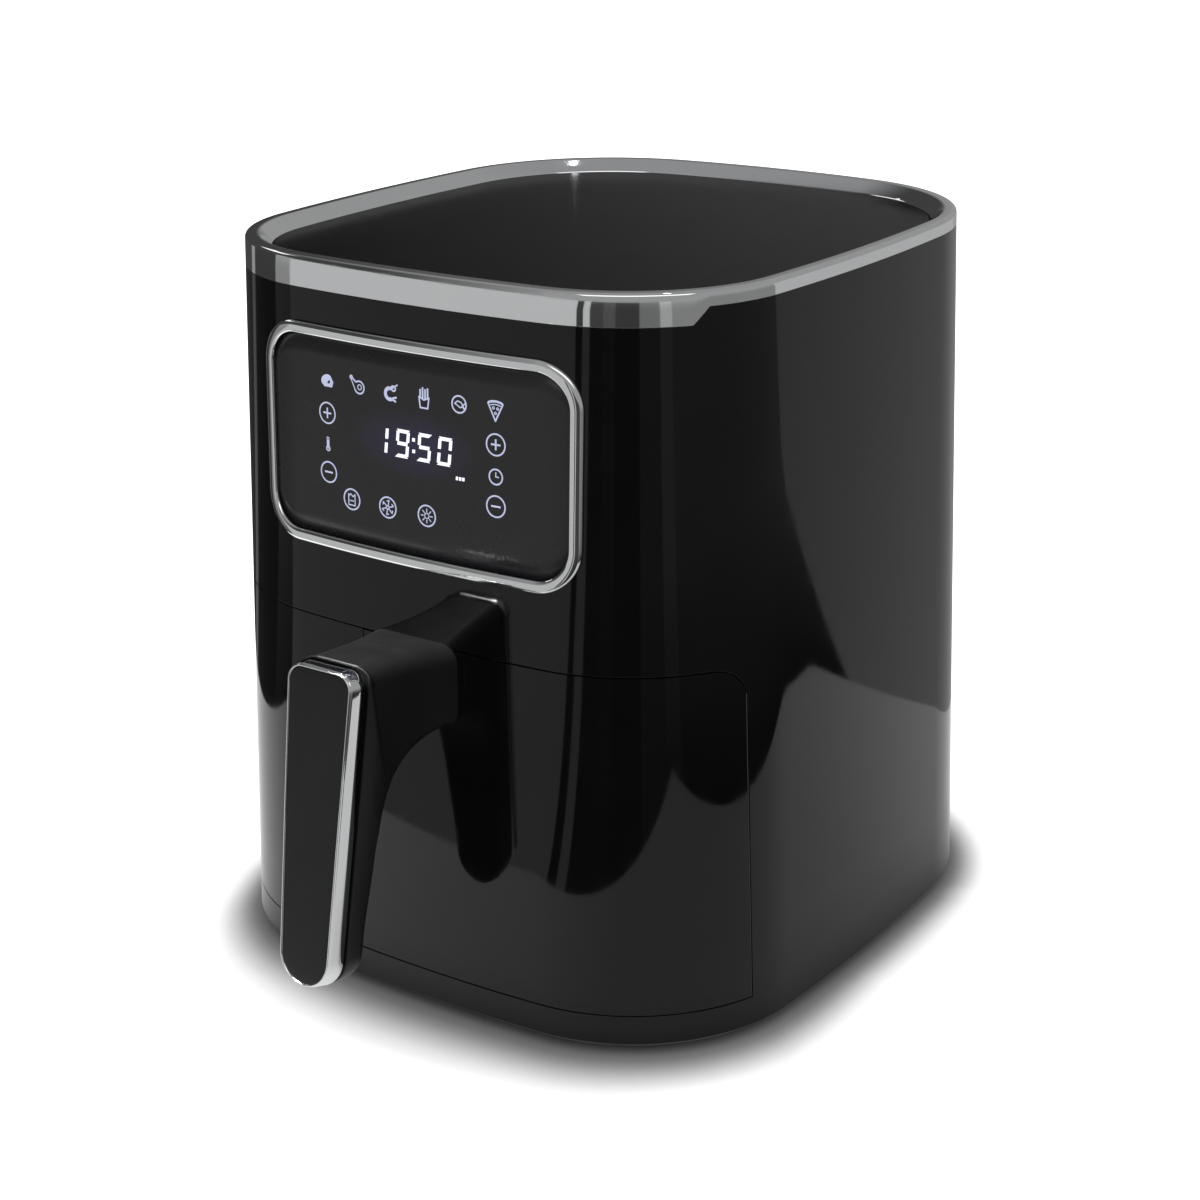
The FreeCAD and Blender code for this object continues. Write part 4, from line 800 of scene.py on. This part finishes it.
# the arm's sections: lower point (y, z), share of the way along its top, half-width
ARM = [
    ((-138.0, 131.0), 0.0, 23.5), ((-144.0, 130.9), 0.1, 22.6), ((-150.0, 130.4), 0.22, 21.0),
    ((-156.0, 129.6), 0.35, 19.6), ((-162.0, 128.2), 0.48, 18.5), ((-168.0, 125.9), 0.62, 17.8),
    ((-174.0, 122.4), 0.76, 17.3), ((-179.0, 118.0), 0.89, 17.05), ((-183.0, 112.5), 1.0, 17.0),
]
# below the corner: distance down the face, inner point (y, z)
BEND = [
    (0.5, (-183.6, 111.4)), (1.2, (-184.3, 110.2)), (2.5, (-185.0, 108.8)), (5.0, (-186.0, 106.6)),
    (9.0, (-187.2, 103.6)), (15.0, (-188.4, 100.0)), (24.0, (-189.5, 95.6)),
]
# down the grip: height on the face, height on the back
GRIP = [(92.0, 54.0), (76.0, 46.0), (60.0, 39.0), (46.0, 33.0), (34.0, 27.0), (26.0, 22.5)]
SIDE_NARROWING, FOOT_SECTIONS, FOOT_SHRINK = 0.02, 12, 3.2
CORE_ROUND, ARM_INNER_ROUND, GRIP_INNER_ROUND = 0.7, 5.0, 4.5
SECTION_ARC, SECTION_EXTRA = 7, 3


def grip_points(u, v, w):
    """Points in the grip's own frame: u across, v up along its face, w out from it."""
    u, v, w = np.broadcast_arrays(np.asarray(u, float), np.asarray(v, float), np.asarray(w, float))
    y = GRIP_LOW[0] + v * GRIP_UP[0] - w * GRIP_UP[1]
    z = GRIP_LOW[1] + v * GRIP_UP[1] + w * GRIP_UP[0]
    return np.stack([u, y, z], -1)


def grip_path(inset):
    """Outline of the grip in (u, v) with outward directions: round foot, spreading sides, rounded top."""
    span = GRIP_LENGTH - GRIP_HALF_LOW - GRIP_CORNER
    tilt = math.atan2(GRIP_HALF_TOP - GRIP_HALF_LOW, span)
    corner_u, corner_v = GRIP_HALF_TOP - GRIP_CORNER, GRIP_LENGTH - GRIP_CORNER
    arcs = [((0.0, GRIP_HALF_LOW), GRIP_HALF_LOW, math.pi + tilt, 2 * math.pi - tilt),
            ((corner_u, corner_v), GRIP_CORNER, -tilt, math.pi / 2),
            ((-corner_u, corner_v), GRIP_CORNER, math.pi / 2, math.pi + tilt)]
    return arcs_path(arcs, inset, 14, 1.0, 3.0)


def build_handle_band(material):
    """Chrome band: a ring with rounded front edges."""
    path, normal = grip_path(0.0)
    rows = []
    for inset, w in BAND_SECTION:
        spot = path - normal * inset
        rows.append(grip_points(spot[:, 0], spot[:, 1], w))
    points, faces = ring_solid(rows)
    piece = make_object("handle_band", points, faces, "drawer", material)
    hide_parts("handle_trim")
    return piece


def build_inlay(material):
    """Slightly crowned flat inlay inside the band."""
    rows = []
    for past, w in INLAY_ROWS:
        inset = BAND_WIDTH + past
        spot, _ = grip_path(min(inset, INLAY_REACH))
        if inset > INLAY_REACH:
            spot = spot * INLAY_SHRINK
        rows.append(grip_points(spot[:, 0], spot[:, 1], w))
    points, faces = capped_solid(rows)
    piece = make_object("handle_face", points, faces, "drawer", material)
    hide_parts("handle_inlay")


def outline_half(v):
    """Half-width of the grip outline at height v."""
    if v <= GRIP_HALF_LOW:
        return math.sqrt(max(GRIP_HALF_LOW ** 2 - (GRIP_HALF_LOW - v) ** 2, 0.0))
    centre = GRIP_LENGTH - GRIP_CORNER
    share = (v - GRIP_HALF_LOW) / (centre - GRIP_HALF_LOW)
    if share <= 1.0:
        return GRIP_HALF_LOW + (GRIP_HALF_TOP - GRIP_HALF_LOW) * share
    return GRIP_HALF_TOP - GRIP_CORNER + math.sqrt(max(GRIP_CORNER ** 2 - (v - centre) ** 2, 0.0))


def face_point(v, w):
    """y and z on the grip's middle line."""
    return grip_points(0.0, v, w)[1:]


def handle_stations():
    """Sections of the handle body: inner point, outer point (y, z), half-width, outer and inner radius."""
    corner = face_point(GRIP_LENGTH, CORE_FACE)
    stations = [(np.array(inner), ARM_ROOT + (corner - ARM_ROOT) * share, half, GRIP_CORNER, ARM_INNER_ROUND)
                for inner, share, half in ARM]
    for drop, inner in BEND:
        v = GRIP_LENGTH - drop
        stations.append((np.array(inner), face_point(v, CORE_FACE), GRIP_HALF_TOP - SIDE_NARROWING * drop,
                         max(CORE_ROUND, GRIP_HALF_TOP - outline_half(v)), ARM_INNER_ROUND))
    for outer_v, inner_v in GRIP:
        stations.append((face_point(inner_v, -GRIP_DEPTH), face_point(outer_v, CORE_FACE),
                         outline_half(outer_v), CORE_ROUND, GRIP_INNER_ROUND))
    for k in range(FOOT_SECTIONS):
        a = math.pi / 2 * k / FOOT_SECTIONS
        v = GRIP_HALF_LOW * (1 - math.sin(a))
        half = max(outline_half(v), 0.4)
        shrink = FOOT_SHRINK * (1 - math.cos(a)) ** 2
        stations.append((face_point(v, -GRIP_DEPTH + shrink), face_point(v, CORE_FACE), half,
                         min(CORE_ROUND, half / 3), min(GRIP_INNER_ROUND, half / 1.6)))
    return stations


def section_loop(inner, outer, half, outer_radius, inner_radius):
    """Rounded rectangle across the handle between an inner and an outer point."""
    depth = np.linalg.norm(outer - inner)
    axis = (outer - inner) / depth
    outer_radius = min(outer_radius, half * 0.95, depth * 0.45)
    inner_radius = min(inner_radius, half * 0.95, depth * 0.45)
    loop = []
    for quarter, side in enumerate((1, -1, -1, 1)):
        radius = outer_radius if quarter < 2 else inner_radius
        cu = side * (half - radius)
        cd = depth - radius if quarter < 2 else radius
        for k in range(SECTION_ARC):
            a = math.pi / 2 * (quarter + k / (SECTION_ARC - 1))
            spot = inner + axis * (cd + radius * math.sin(a))
            loop.append((cu + radius * math.cos(a), *spot))
    return np.array(loop)


def curve_through(before, a, b, after, t):
    """Smooth curve from a to b that also heeds its neighbours."""
    return 0.5 * (2 * a + (b - before) * t + (2 * before - 5 * a + 4 * b - after) * t * t
                  + (3 * a - before - 3 * b + after) * t ** 3)


def smooth_between(stations):
    """Adds sections between the given ones: inner points on a smooth curve, the rest on straight lines."""
    dense = []
    for i, (here, there) in enumerate(zip(stations, stations[1:])):
        before = stations[max(i - 1, 0)][0]
        after = stations[min(i + 2, len(stations) - 1)][0]
        for t in np.arange(SECTION_EXTRA) / SECTION_EXTRA:
            inner = curve_through(before, here[0], there[0], after, t)
            dense.append((inner, *(a + (b - a) * t for a, b in zip(here[1:], there[1:]))))
    return dense + [stations[-1]]


def build_handle_body(material):
    points, faces = capped_solid([section_loop(*s) for s in smooth_between(handle_stations())])
    body = make_object("handle_body", points, faces, "drawer", material)
    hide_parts("handle_core")
    return body


def build_handle_neck(material):
    """Narrow step between the handle body and the band."""
    path, _ = grip_path(BAND_WIDTH)
    points, faces = capped_solid([grip_points(path[:, 0], path[:, 1], w) for w in NECK_DEPTHS])
    neck = make_object("handle_neck", points, faces, "drawer", material)


# ======================= materials =======================
def new_material(name):
    material = bpy.data.materials.new(name)
    material.use_nodes = True
    nodes = material.node_tree.nodes
    return material, nodes, material.node_tree.links, nodes["Principled BSDF"]


def noise(nodes, links, scale, detail=4.0, roughness=0.55):
    """Noise in object space; scale is in cycles per metre."""
    coordinate = nodes.new("ShaderNodeTexCoord")
    texture = nodes.new("ShaderNodeTexNoise")
    texture.inputs["Scale"].default_value = scale
    texture.inputs["Detail"].default_value = detail
    texture.inputs["Roughness"].default_value = roughness
    links.new(coordinate.outputs["Object"], texture.inputs["Vector"])
    return texture.outputs["Fac"]


def ramp(nodes, links, source, low, high, start=0.35, end=0.65):
    """Turns a 0..1 pattern into values from low to high."""
    node = nodes.new("ShaderNodeMapRange")
    node.inputs["From Min"].default_value = start
    node.inputs["From Max"].default_value = end
    node.inputs["To Min"].default_value = low
    node.inputs["To Max"].default_value = high
    links.new(source, node.inputs["Value"])
    return node.outputs["Result"]


def tint(nodes, links, source, dark, light):
    node = nodes.new("ShaderNodeMix")
    node.data_type = "RGBA"
    node.inputs["A"].default_value = (*dark, 1.0)
    node.inputs["B"].default_value = (*light, 1.0)
    links.new(source, node.inputs["Factor"])
    return node.outputs["Result"]


def bump(nodes, links, source, strength, distance, shader, chain=None):
    node = nodes.new("ShaderNodeBump")
    node.inputs["Strength"].default_value = strength
    node.inputs["Distance"].default_value = distance
    links.new(source, node.inputs["Height"])
    if chain is not None:
        links.new(chain, node.inputs["Normal"])
    links.new(node.outputs["Normal"], shader.inputs["Normal"])
    return node.outputs["Normal"]


def plastic(name, dark, light, rough, grain_scale, grain_strength, ior=1.5, wave=0.0):
    """Moulded plastic: mottled colour, uneven gloss, fine grain and a slow mould wave."""
    material, nodes, links, shader = new_material(name)
    mottle = noise(nodes, links, 35.0)
    links.new(tint(nodes, links, mottle, dark, light), shader.inputs["Base Color"])
    smear = noise(nodes, links, 90.0, 6.0, 0.65)
    links.new(ramp(nodes, links, smear, rough[0], rough[1]), shader.inputs["Roughness"])
    shader.inputs["IOR"].default_value = ior
    grain = noise(nodes, links, grain_scale, 3.0)
    normal = bump(nodes, links, grain, grain_strength, 0.00005, shader)
    if wave:
        slow = noise(nodes, links, 22.0, 1.0)
        bump(nodes, links, slow, wave, 0.0004, shader, normal)
    return material


def metal(name, dark, light, rough, scale, stretch=None, strength=0.05):
    """Metal with cloudy colour and roughness; stretch makes brushed lines along one axis."""
    material, nodes, links, shader = new_material(name)
    shader.inputs["Metallic"].default_value = 1.0
    coordinate = nodes.new("ShaderNodeTexCoord")
    mapping = nodes.new("ShaderNodeMapping")
    mapping.inputs["Scale"].default_value = stretch or (1.0, 1.0, 1.0)
    texture = nodes.new("ShaderNodeTexNoise")
    texture.inputs["Scale"].default_value = scale
    texture.inputs["Detail"].default_value = 6.0
    links.new(coordinate.outputs["Object"], mapping.inputs["Vector"])
    links.new(mapping.outputs["Vector"], texture.inputs["Vector"])
    pattern = texture.outputs["Fac"]
    links.new(tint(nodes, links, pattern, dark, light), shader.inputs["Base Color"])
    links.new(ramp(nodes, links, pattern, rough[0], rough[1]), shader.inputs["Roughness"])
    bump(nodes, links, pattern, strength, 0.00005, shader)
    return material


def add_halo(material, centre, half, colour, strength):
    """Faint light that the digits spread inside the panel film, fading out from their middle."""
    nodes, links = material.node_tree.nodes, material.node_tree.links
    shader = nodes["Principled BSDF"]
    coordinate = nodes.new("ShaderNodeTexCoord")
    mapping = nodes.new("ShaderNodeMapping")
    mapping.inputs["Location"].default_value = [-c / h for c, h in zip(centre, half)]
    mapping.inputs["Scale"].default_value = [1.0 / h for h in half]
    links.new(coordinate.outputs["Object"], mapping.inputs["Vector"])
    blob = nodes.new("ShaderNodeTexGradient")
    blob.gradient_type = "SPHERICAL"
    links.new(mapping.outputs["Vector"], blob.inputs["Vector"])
    fade = ramp(nodes, links, blob.outputs["Fac"], 0.0, strength, 0.0, 1.0)
    links.new(fade, shader.inputs["Emission Strength"])
    shader.inputs["Emission Color"].default_value = (*colour, 1.0)


def glow(name, colour, strength):
    """Lit symbol seen through the panel: brighter and dimmer patches of a light guide."""
    material, nodes, links, shader = new_material(name)
    shader.inputs["Base Color"].default_value = (0.02, 0.02, 0.025, 1.0)
    shader.inputs["Roughness"].default_value = 0.4
    patches = noise(nodes, links, 260.0, 2.0)
    dimmer = tuple(c * 0.75 for c in colour)
    links.new(tint(nodes, links, patches, dimmer, colour), shader.inputs["Emission Color"])
    shader.inputs["Emission Strength"].default_value = strength
    return material


def build_materials():
    return {
        "gloss_black": plastic("gloss_black_abs", (0.0006, 0.0006, 0.0007), (0.0013, 0.0013, 0.0015),
                               (0.03, 0.075), 1500.0, 0.02, ior=1.42, wave=0.05),
        "satin_black": plastic("satin_black_plastic", (0.0020, 0.0020, 0.0022), (0.0030, 0.0030, 0.0033),
                               (0.40, 0.46), 3200.0, 0.06, ior=1.38),
        "inlay_black": plastic("inlay_black", (0.003, 0.0032, 0.0032), (0.005, 0.0053, 0.0053), (0.34, 0.42),
                               3000.0, 0.20, ior=1.38),
        "cover_black": plastic("cover_black", (0.0010, 0.0010, 0.0011), (0.0024, 0.0024, 0.0026), (0.14, 0.20),
                               2200.0, 0.04, ior=1.09, wave=0.02),
        "inner_black": plastic("inner_black_plastic", (0.012, 0.012, 0.012), (0.02, 0.02, 0.02), (0.45, 0.6),
                               1800.0, 0.4),
        "panel_black": plastic("panel_black_film", (0.0060, 0.0060, 0.0068), (0.0070, 0.0070, 0.0080),
                               (0.24, 0.32), 2600.0, 0.06, ior=1.42),
        "nonstick": plastic("nonstick_coating", (0.018, 0.018, 0.019), (0.032, 0.032, 0.033), (0.3, 0.42),
                            1300.0, 0.5),
        "rubber": plastic("black_rubber", (0.012, 0.012, 0.012), (0.024, 0.023, 0.022), (0.65, 0.8),
                          900.0, 0.5),
        "circuit_green": plastic("circuit_green", (0.01, 0.07, 0.03), (0.015, 0.10, 0.045), (0.3, 0.4),
                                 800.0, 0.3),
        "circuit_parts": plastic("circuit_parts", (0.03, 0.03, 0.032), (0.09, 0.09, 0.095), (0.4, 0.55),
                                 700.0, 0.3),
        "chrome_trim": metal("bright_chrome", (0.88, 0.89, 0.90), (0.92, 0.93, 0.94), (0.03, 0.08), 60.0,
                             strength=0.02),
        "sheet_steel": metal("aluminised_steel", (0.42, 0.42, 0.41), (0.60, 0.60, 0.58), (0.28, 0.42), 220.0),
        "screw_steel": metal("zinc_steel", (0.45, 0.45, 0.44), (0.62, 0.61, 0.58), (0.25, 0.4), 400.0),
        "heater_tube": metal("heat_stained_tube", (0.10, 0.08, 0.065), (0.26, 0.22, 0.18), (0.35, 0.5), 120.0),
        "fan_aluminium": metal("pressed_aluminium", (0.55, 0.56, 0.57), (0.72, 0.72, 0.73), (0.25, 0.4), 260.0),
        "motor_core": metal("laminated_steel", (0.16, 0.16, 0.165), (0.30, 0.30, 0.30), (0.4, 0.55), 1.0,
                            stretch=(80.0, 80.0, 1500.0), strength=0.3),
        "bronze": metal("sintered_bronze", (0.40, 0.26, 0.12), (0.55, 0.38, 0.2), (0.4, 0.55), 900.0, strength=0.2),
        "icon_light": glow("icon_light", (0.58, 0.62, 0.86), 0.95),
        "digit_light": glow("digit_light", (0.80, 0.82, 1.0), 1.6),
    }


RUBBER_SLOTS = ("silicone", "foot_rubber")      # every other slot has a material of its own name


def dress_cad_nodes(materials):
    """Every CAD node gets the material of its slot and softly rounded edges."""
    slots = {entry["node"]: entry["material_slot"] for entry in frame["record"]["subparts"]}
    slots["top_cover"] = "cover_black"
    for name, node in frame["nodes"].items():
        material = materials["rubber" if slots[name] in RUBBER_SLOTS else slots[name]]
        if not node.material_slots:
            node.data.materials.append(material)
        for place in node.material_slots:
            place.material = material
        add_bevel(node, FINE_ROUND, angle=40.0)


# ======================= studio =======================
CAMERA_SPOT = (548.2, -810.3, 491.46)      # from the body's middle, millimetres
CAMERA_YAW, CAMERA_PITCH, CAMERA_ROLL = 34.502, 20.015, -0.438
CAMERA_LENS, SENSOR_WIDTH = 69.12, 36.0      # millimetres
WHITE = (1.0, 1.0, 1.0)
ROOM_LOW, ROOM_HIGH = 0.55, 0.9                            # sine of the elevation
ROOM_ACROSS, ROOM_WALL = (-0.66, -0.38), (0.05, 0.31)      # direction across, tone
ROOM_CEILING = (0.28, 0.28, 0.285)
SKY_STRENGTH, BACKDROP_STRENGTH = 2.0, 1.05
# ordinary lights: place, target (both in metres), size, power
LAMPS = {
    "ceiling_lamp": ((0.25, 0.3, 2.2), (0.0, 0.0, 0.0), (0.30, 0.06), 0.5),
    "front_box": ((0.95, -1.25, 1.55), (0.0, 0.0, 0.25), (2.4, 0.9), 6.5),
    "left_box": ((-1.7, -0.2, 1.3), (0.0, 0.0, 0.25), (1.2, 0.4), 1.6),
}
HANDLE_STRIP = ((-0.35, -0.5, 1.2), (0.0, -0.17, 0.16), (0.7, 0.5), 85.0)
TABLE_X, TABLE_Y = (-375.0, 385.0), (-300.0, 285.0)
# the table's tone round the body: azimuth, tone
TABLE_TONE = ((-180.0, 1.0), (-60.0, 1.1), (-38.0, 1.12), (-12.0, 0.85), (30.0, 0.55), (75.0, 0.52),
              (110.0, 0.6), (146.0, 0.85), (180.0, 0.85))
TABLE_PAINTED_SHADOW = ((0.0, 0.35), (8.0, 0.62), (22.0, 0.86), (50.0, 1.0))      # painted contact shadow on the reflected table: distance from the body, share
ROOM_RADII = (950.0, 6000.0)
# floor of the room beyond the white table: first azimuth, tone near, tone far
ROOM_SECTORS = ((-180.0, 0.34, 0.34), (-135.0, 0.05, 0.06), (-100.0, 0.25, 0.3), (-94.0, 0.03, 0.05),
                (-66.0, 0.05, 0.36), (-52.0, 0.46, 0.48), (1.0, 0.03, 0.05), (5.0, 0.4, 0.5), (9.0, 0.03, 0.06),
                (17.0, 0.03, 0.10), (24.0, 0.02, 0.05), (38.0, 0.05, 0.2), (50.0, 0.05, 0.5),
                (57.0, 0.015, 0.34), (100.0, 0.01, 0.36), (131.0, 0.42, 0.42))
REFLECTED_FLOOR_Z, FLOOR_Z = 0.6, -0.05
# painted contact shadow on the floor: distance from the base, share of the floor's brightness
PAINTED_CONTACT_SHADOW = ((-40.0, 0.10), (0.0, 0.12), (5.0, 0.16), (11.0, 0.26), (19.0, 0.45), (28.0, 0.68), (40.0, 0.90),
           (58.0, 1.0), (7000.0, 1.0))
# how far the painted contact shadow spreads round the body: azimuth, factor
PAINTED_SHADOW_SPREAD = ((-180.0, 0.5), (-50.0, 0.5), (-15.0, 1.0), (30.0, 0.97), (55.0, 0.82), (80.0, 0.5), (180.0, 0.5))


def build_camera():
    yaw, pitch, roll = (math.radians(a) for a in (CAMERA_YAW, CAMERA_PITCH, CAMERA_ROLL))
    ahead = Vector((-math.sin(yaw) * math.cos(pitch), math.cos(yaw) * math.cos(pitch), -math.sin(pitch)))
    right = Vector((math.cos(yaw), math.sin(yaw), 0.0))
    up = right.cross(ahead)
    turned_right = math.cos(roll) * right + math.sin(roll) * up
    turned_up = -math.sin(roll) * right + math.cos(roll) * up
    data = bpy.data.cameras.new("camera")
    data.sensor_width = SENSOR_WIDTH
    data.lens = CAMERA_LENS
    data.clip_start, data.clip_end = 0.05, 50.0
    camera = bpy.data.objects.new("camera", data)
    rotation = Matrix((turned_right, turned_up, -ahead)).transposed()
    x, y, z = CAMERA_SPOT
    place = Vector((x, y + BODY_Y, z)) * MM
    camera.matrix_world = Matrix.Translation(place) @ rotation.to_4x4()
    bpy.context.scene.collection.objects.link(camera)
    bpy.context.scene.camera = camera


def area_light(name, place, target, size, power):
    data = bpy.data.lights.new(name, "AREA")
    data.shape = "RECTANGLE"
    data.size, data.size_y = size
    data.energy = power
    light = bpy.data.objects.new(name, data)
    light.location = place
    light.rotation_euler = (Vector(target) - Vector(place)).to_track_quat("-Z", "Y").to_euler()
    bpy.context.scene.collection.objects.link(light)
    return light


def world_part(nodes, colour, strength):
    part = nodes.new("ShaderNodeBackground")
    part.inputs["Color"].default_value = (*colour, 1.0)
    part.inputs["Strength"].default_value = strength
    return part.outputs[0]


def mixed(nodes, links, share, first, second):
    mixer = nodes.new("ShaderNodeMixShader")
    for source, socket in zip((share, first, second), mixer.inputs):
        links.new(source, socket)
    return mixer.outputs[0]


def build_world():
    """White to the camera, an even sky for soft light, and a dim room with a brighter ceiling in reflections."""
    world = bpy.data.worlds.new("studio")
    bpy.context.scene.world = world
    world.use_nodes = True
    world.cycles.sampling_method = "NONE"
    nodes, links = world.node_tree.nodes, world.node_tree.links
    nodes.remove(nodes["Background"])
    coordinate = nodes.new("ShaderNodeTexCoord")
    split = nodes.new("ShaderNodeSeparateXYZ")
    links.new(coordinate.outputs["Generated"], split.inputs[0])
    rise = nodes.new("ShaderNodeMapRange")
    rise.interpolation_type = "SMOOTHSTEP"
    rise.inputs["From Min"].default_value = ROOM_LOW
    rise.inputs["From Max"].default_value = ROOM_HIGH
    links.new(split.outputs["Z"], rise.inputs["Value"])
    wall = nodes.new("ShaderNodeBackground")
    wall.inputs["Color"].default_value = (*WHITE, 1.0)
    links.new(ramp(nodes, links, split.outputs["X"], *ROOM_WALL, *ROOM_ACROSS), wall.inputs["Strength"])
    path = nodes.new("ShaderNodeLightPath")
    room = mixed(nodes, links, rise.outputs["Result"], wall.outputs[0], world_part(nodes, ROOM_CEILING, 1.0))
    sky = world_part(nodes, WHITE, SKY_STRENGTH)
    indirect = mixed(nodes, links, path.outputs["Is Glossy Ray"], sky, room)
    backdrop = world_part(nodes, WHITE, BACKDROP_STRENGTH)
    whole = mixed(nodes, links, path.outputs["Is Camera Ray"], indirect, backdrop)
    links.new(whole, nodes["World Output"].inputs["Surface"])


def sector_tones(azimuth):
    near, far = ROOM_SECTORS[0][1:]
    for first, low, high in ROOM_SECTORS:
        if azimuth >= first:
            near, far = low, high
    return near, far


def table_reach(direction):
    """Distance from the middle to the table's edge along a direction."""
    reach = []
    for part, (low, high) in zip(direction, (TABLE_X, TABLE_Y)):
        if abs(part) > 1e-9:
            reach.append((high if part > 0 else low) / part)
    return min(reach)


def body_reach(direction):
    """Distance from the middle to the body's lowest edge along a direction."""
    u = np.linspace(-WHOLE, WHOLE, 721)
    x, y = outline(u, TAPER)
    facing = (x * direction[0] + y * direction[1]) / np.hypot(x, y)
    best = int(np.argmax(facing))
    return float(np.hypot(x[best], y[best]))


def direction_at(azimuth):
    """Direction on the floor; azimuth in degrees from the front, towards the right."""
    angle = math.radians(azimuth)
    return np.array([math.sin(angle), -math.cos(angle)])


def toned_sheet(name, spots, z, faces, tones, material):
    """Flat sheet at a height z, with a tone stored at every point."""
    flat = np.array(spots)
    place = np.stack([flat[:, 0], flat[:, 1] + BODY_Y, np.full(len(flat), z)], 1) * MM
    mesh = bpy.data.meshes.new(name)
    mesh.from_pydata(place.tolist(), [], faces)
    attribute = mesh.attributes.new("tone", "FLOAT", "POINT")
    attribute.data.foreach_set("value", np.array(tones, np.float32))
    mesh.materials.append(material)
    sheet = bpy.data.objects.new(name, mesh)
    bpy.context.scene.collection.objects.link(sheet)
    return sheet


def tone_source(nodes):
    reader = nodes.new("ShaderNodeAttribute")
    reader.attribute_name = "tone"
    return reader.outputs["Fac"]


def reflected_floor_material():
    material, nodes, links, shader = new_material("reflected_floor")
    nodes.remove(shader)
    emission = nodes.new("ShaderNodeEmission")
    links.new(tone_source(nodes), emission.inputs["Strength"])
    links.new(emission.outputs[0], nodes["Material Output"].inputs["Surface"])
    return material


def floor_material_with_painted_shadow():
    material, nodes, links, shader = new_material("floor_white")
    # the tone darkens the floor's colour towards black: a painted contact shadow round the base
    white = tint(nodes, links, tone_source(nodes), (0.0, 0.0, 0.0), (0.9, 0.9, 0.9))
    links.new(white, shader.inputs["Base Color"])
    shader.inputs["Roughness"].default_value = 0.9
    shader.inputs["Specular IOR Level"].default_value = 0.0
    return material


def build_reflected_floor():
    """Table and room floor as the gloss sees them: bright near, dim beyond, with a painted shadow that darkens it
    by the body.
    """
    points, faces, tones = [], [], []
    for azimuth in np.arange(-180.0, 180.0, 1.0):
        near, far = sector_tones(azimuth)
        table = float(np.interp(azimuth, *zip(*TABLE_TONE)))
        # the table's tone with the painted shadow near the body
        table_tones = [table * share for _, share in TABLE_PAINTED_SHADOW] + [table]
        rays = []
        for way in (direction_at(azimuth), direction_at(azimuth + 1.0)):
            base, edge = body_reach(way), table_reach(way)
            table_part = [way * reach for reach in [base + distance for distance, _ in TABLE_PAINTED_SHADOW] + [edge]]
            rays.append((table_part, [way * reach for reach in (edge, *ROOM_RADII)]))
        for part, tone in enumerate((table_tones, (near, (near + far) / 2, far))):
            here, there = rays[0][part], rays[1][part]
            for k in range(len(tone) - 1):
                start = len(points)
                points += [here[k], there[k], there[k + 1], here[k + 1]]
                faces.append((start, start + 1, start + 2, start + 3))
                tones += [tone[k], tone[k], tone[k + 1], tone[k + 1]]
    card = toned_sheet("reflected_floor", points, REFLECTED_FLOOR_Z, faces, tones, reflected_floor_material())
    card.visible_camera = False
    card.visible_diffuse = False
    card.visible_shadow = False
    card.visible_transmission = False


def build_floor():
    """White floor with a painted contact shadow: its colour is darker where it is close to the base."""
    points, tones = [], []
    azimuths = np.arange(0.0, 360.0, 2.0)
    for azimuth in azimuths:
        way = direction_at(azimuth)
        base = body_reach(way)
        # rings of the painted contact shadow, spread further at the front
        spread = float(np.interp((azimuth + 180.0) % 360.0 - 180.0, *zip(*PAINTED_SHADOW_SPREAD)))
        points += [way * (base + distance * spread) for distance, _ in PAINTED_CONTACT_SHADOW]
        tones += [share for _, share in PAINTED_CONTACT_SHADOW]
    count, rings = len(azimuths), len(PAINTED_CONTACT_SHADOW)
    faces = []
    for i in range(count):
        n = (i + 1) % count
        faces += [(i * rings + k, i * rings + k + 1, n * rings + k + 1, n * rings + k) for k in range(rings - 1)]
    faces.append(tuple(i * rings for i in reversed(range(count))))
    floor = toned_sheet("floor", points, FLOOR_Z, faces, tones, floor_material_with_painted_shadow())
    floor.visible_glossy = False


def build_studio():
    build_world()
    build_floor()
    build_reflected_floor()
    for name, settings in LAMPS.items():
        area_light(name, *settings)


def build_handle_light(pieces):
    """Overhead strip that only the handle catches."""
    strip = area_light("handle_strip", *HANDLE_STRIP)
    lit = bpy.data.collections.new("handle_lit")
    for piece in pieces:
        lit.objects.link(piece)
    strip.light_linking.receiver_collection = lit


def main():
    bpy.context.scene.view_settings.view_transform = "Standard"
    materials = build_materials()
    dress_cad_nodes(materials)
    build_camera()
    build_studio()
    build_housing(materials["gloss_black"])
    build_top_ring(materials["chrome_trim"])
    build_bezel(materials["chrome_trim"])
    add_halo(materials["panel_black"], HALO_CENTRE, HALO_HALF, HALO_COLOUR, HALO_STRENGTH)
    build_glass(materials["panel_black"])
    build_icons(materials["icon_light"])
    build_digits(materials["digit_light"])
    build_drawer_front(materials["gloss_black"])
    build_root_plate(materials["gloss_black"])
    band = build_handle_band(materials["chrome_trim"])
    build_inlay(materials["inlay_black"])
    body = build_handle_body(materials["satin_black"])
    build_handle_neck(materials["satin_black"])
    build_handle_light([band, body])


main()
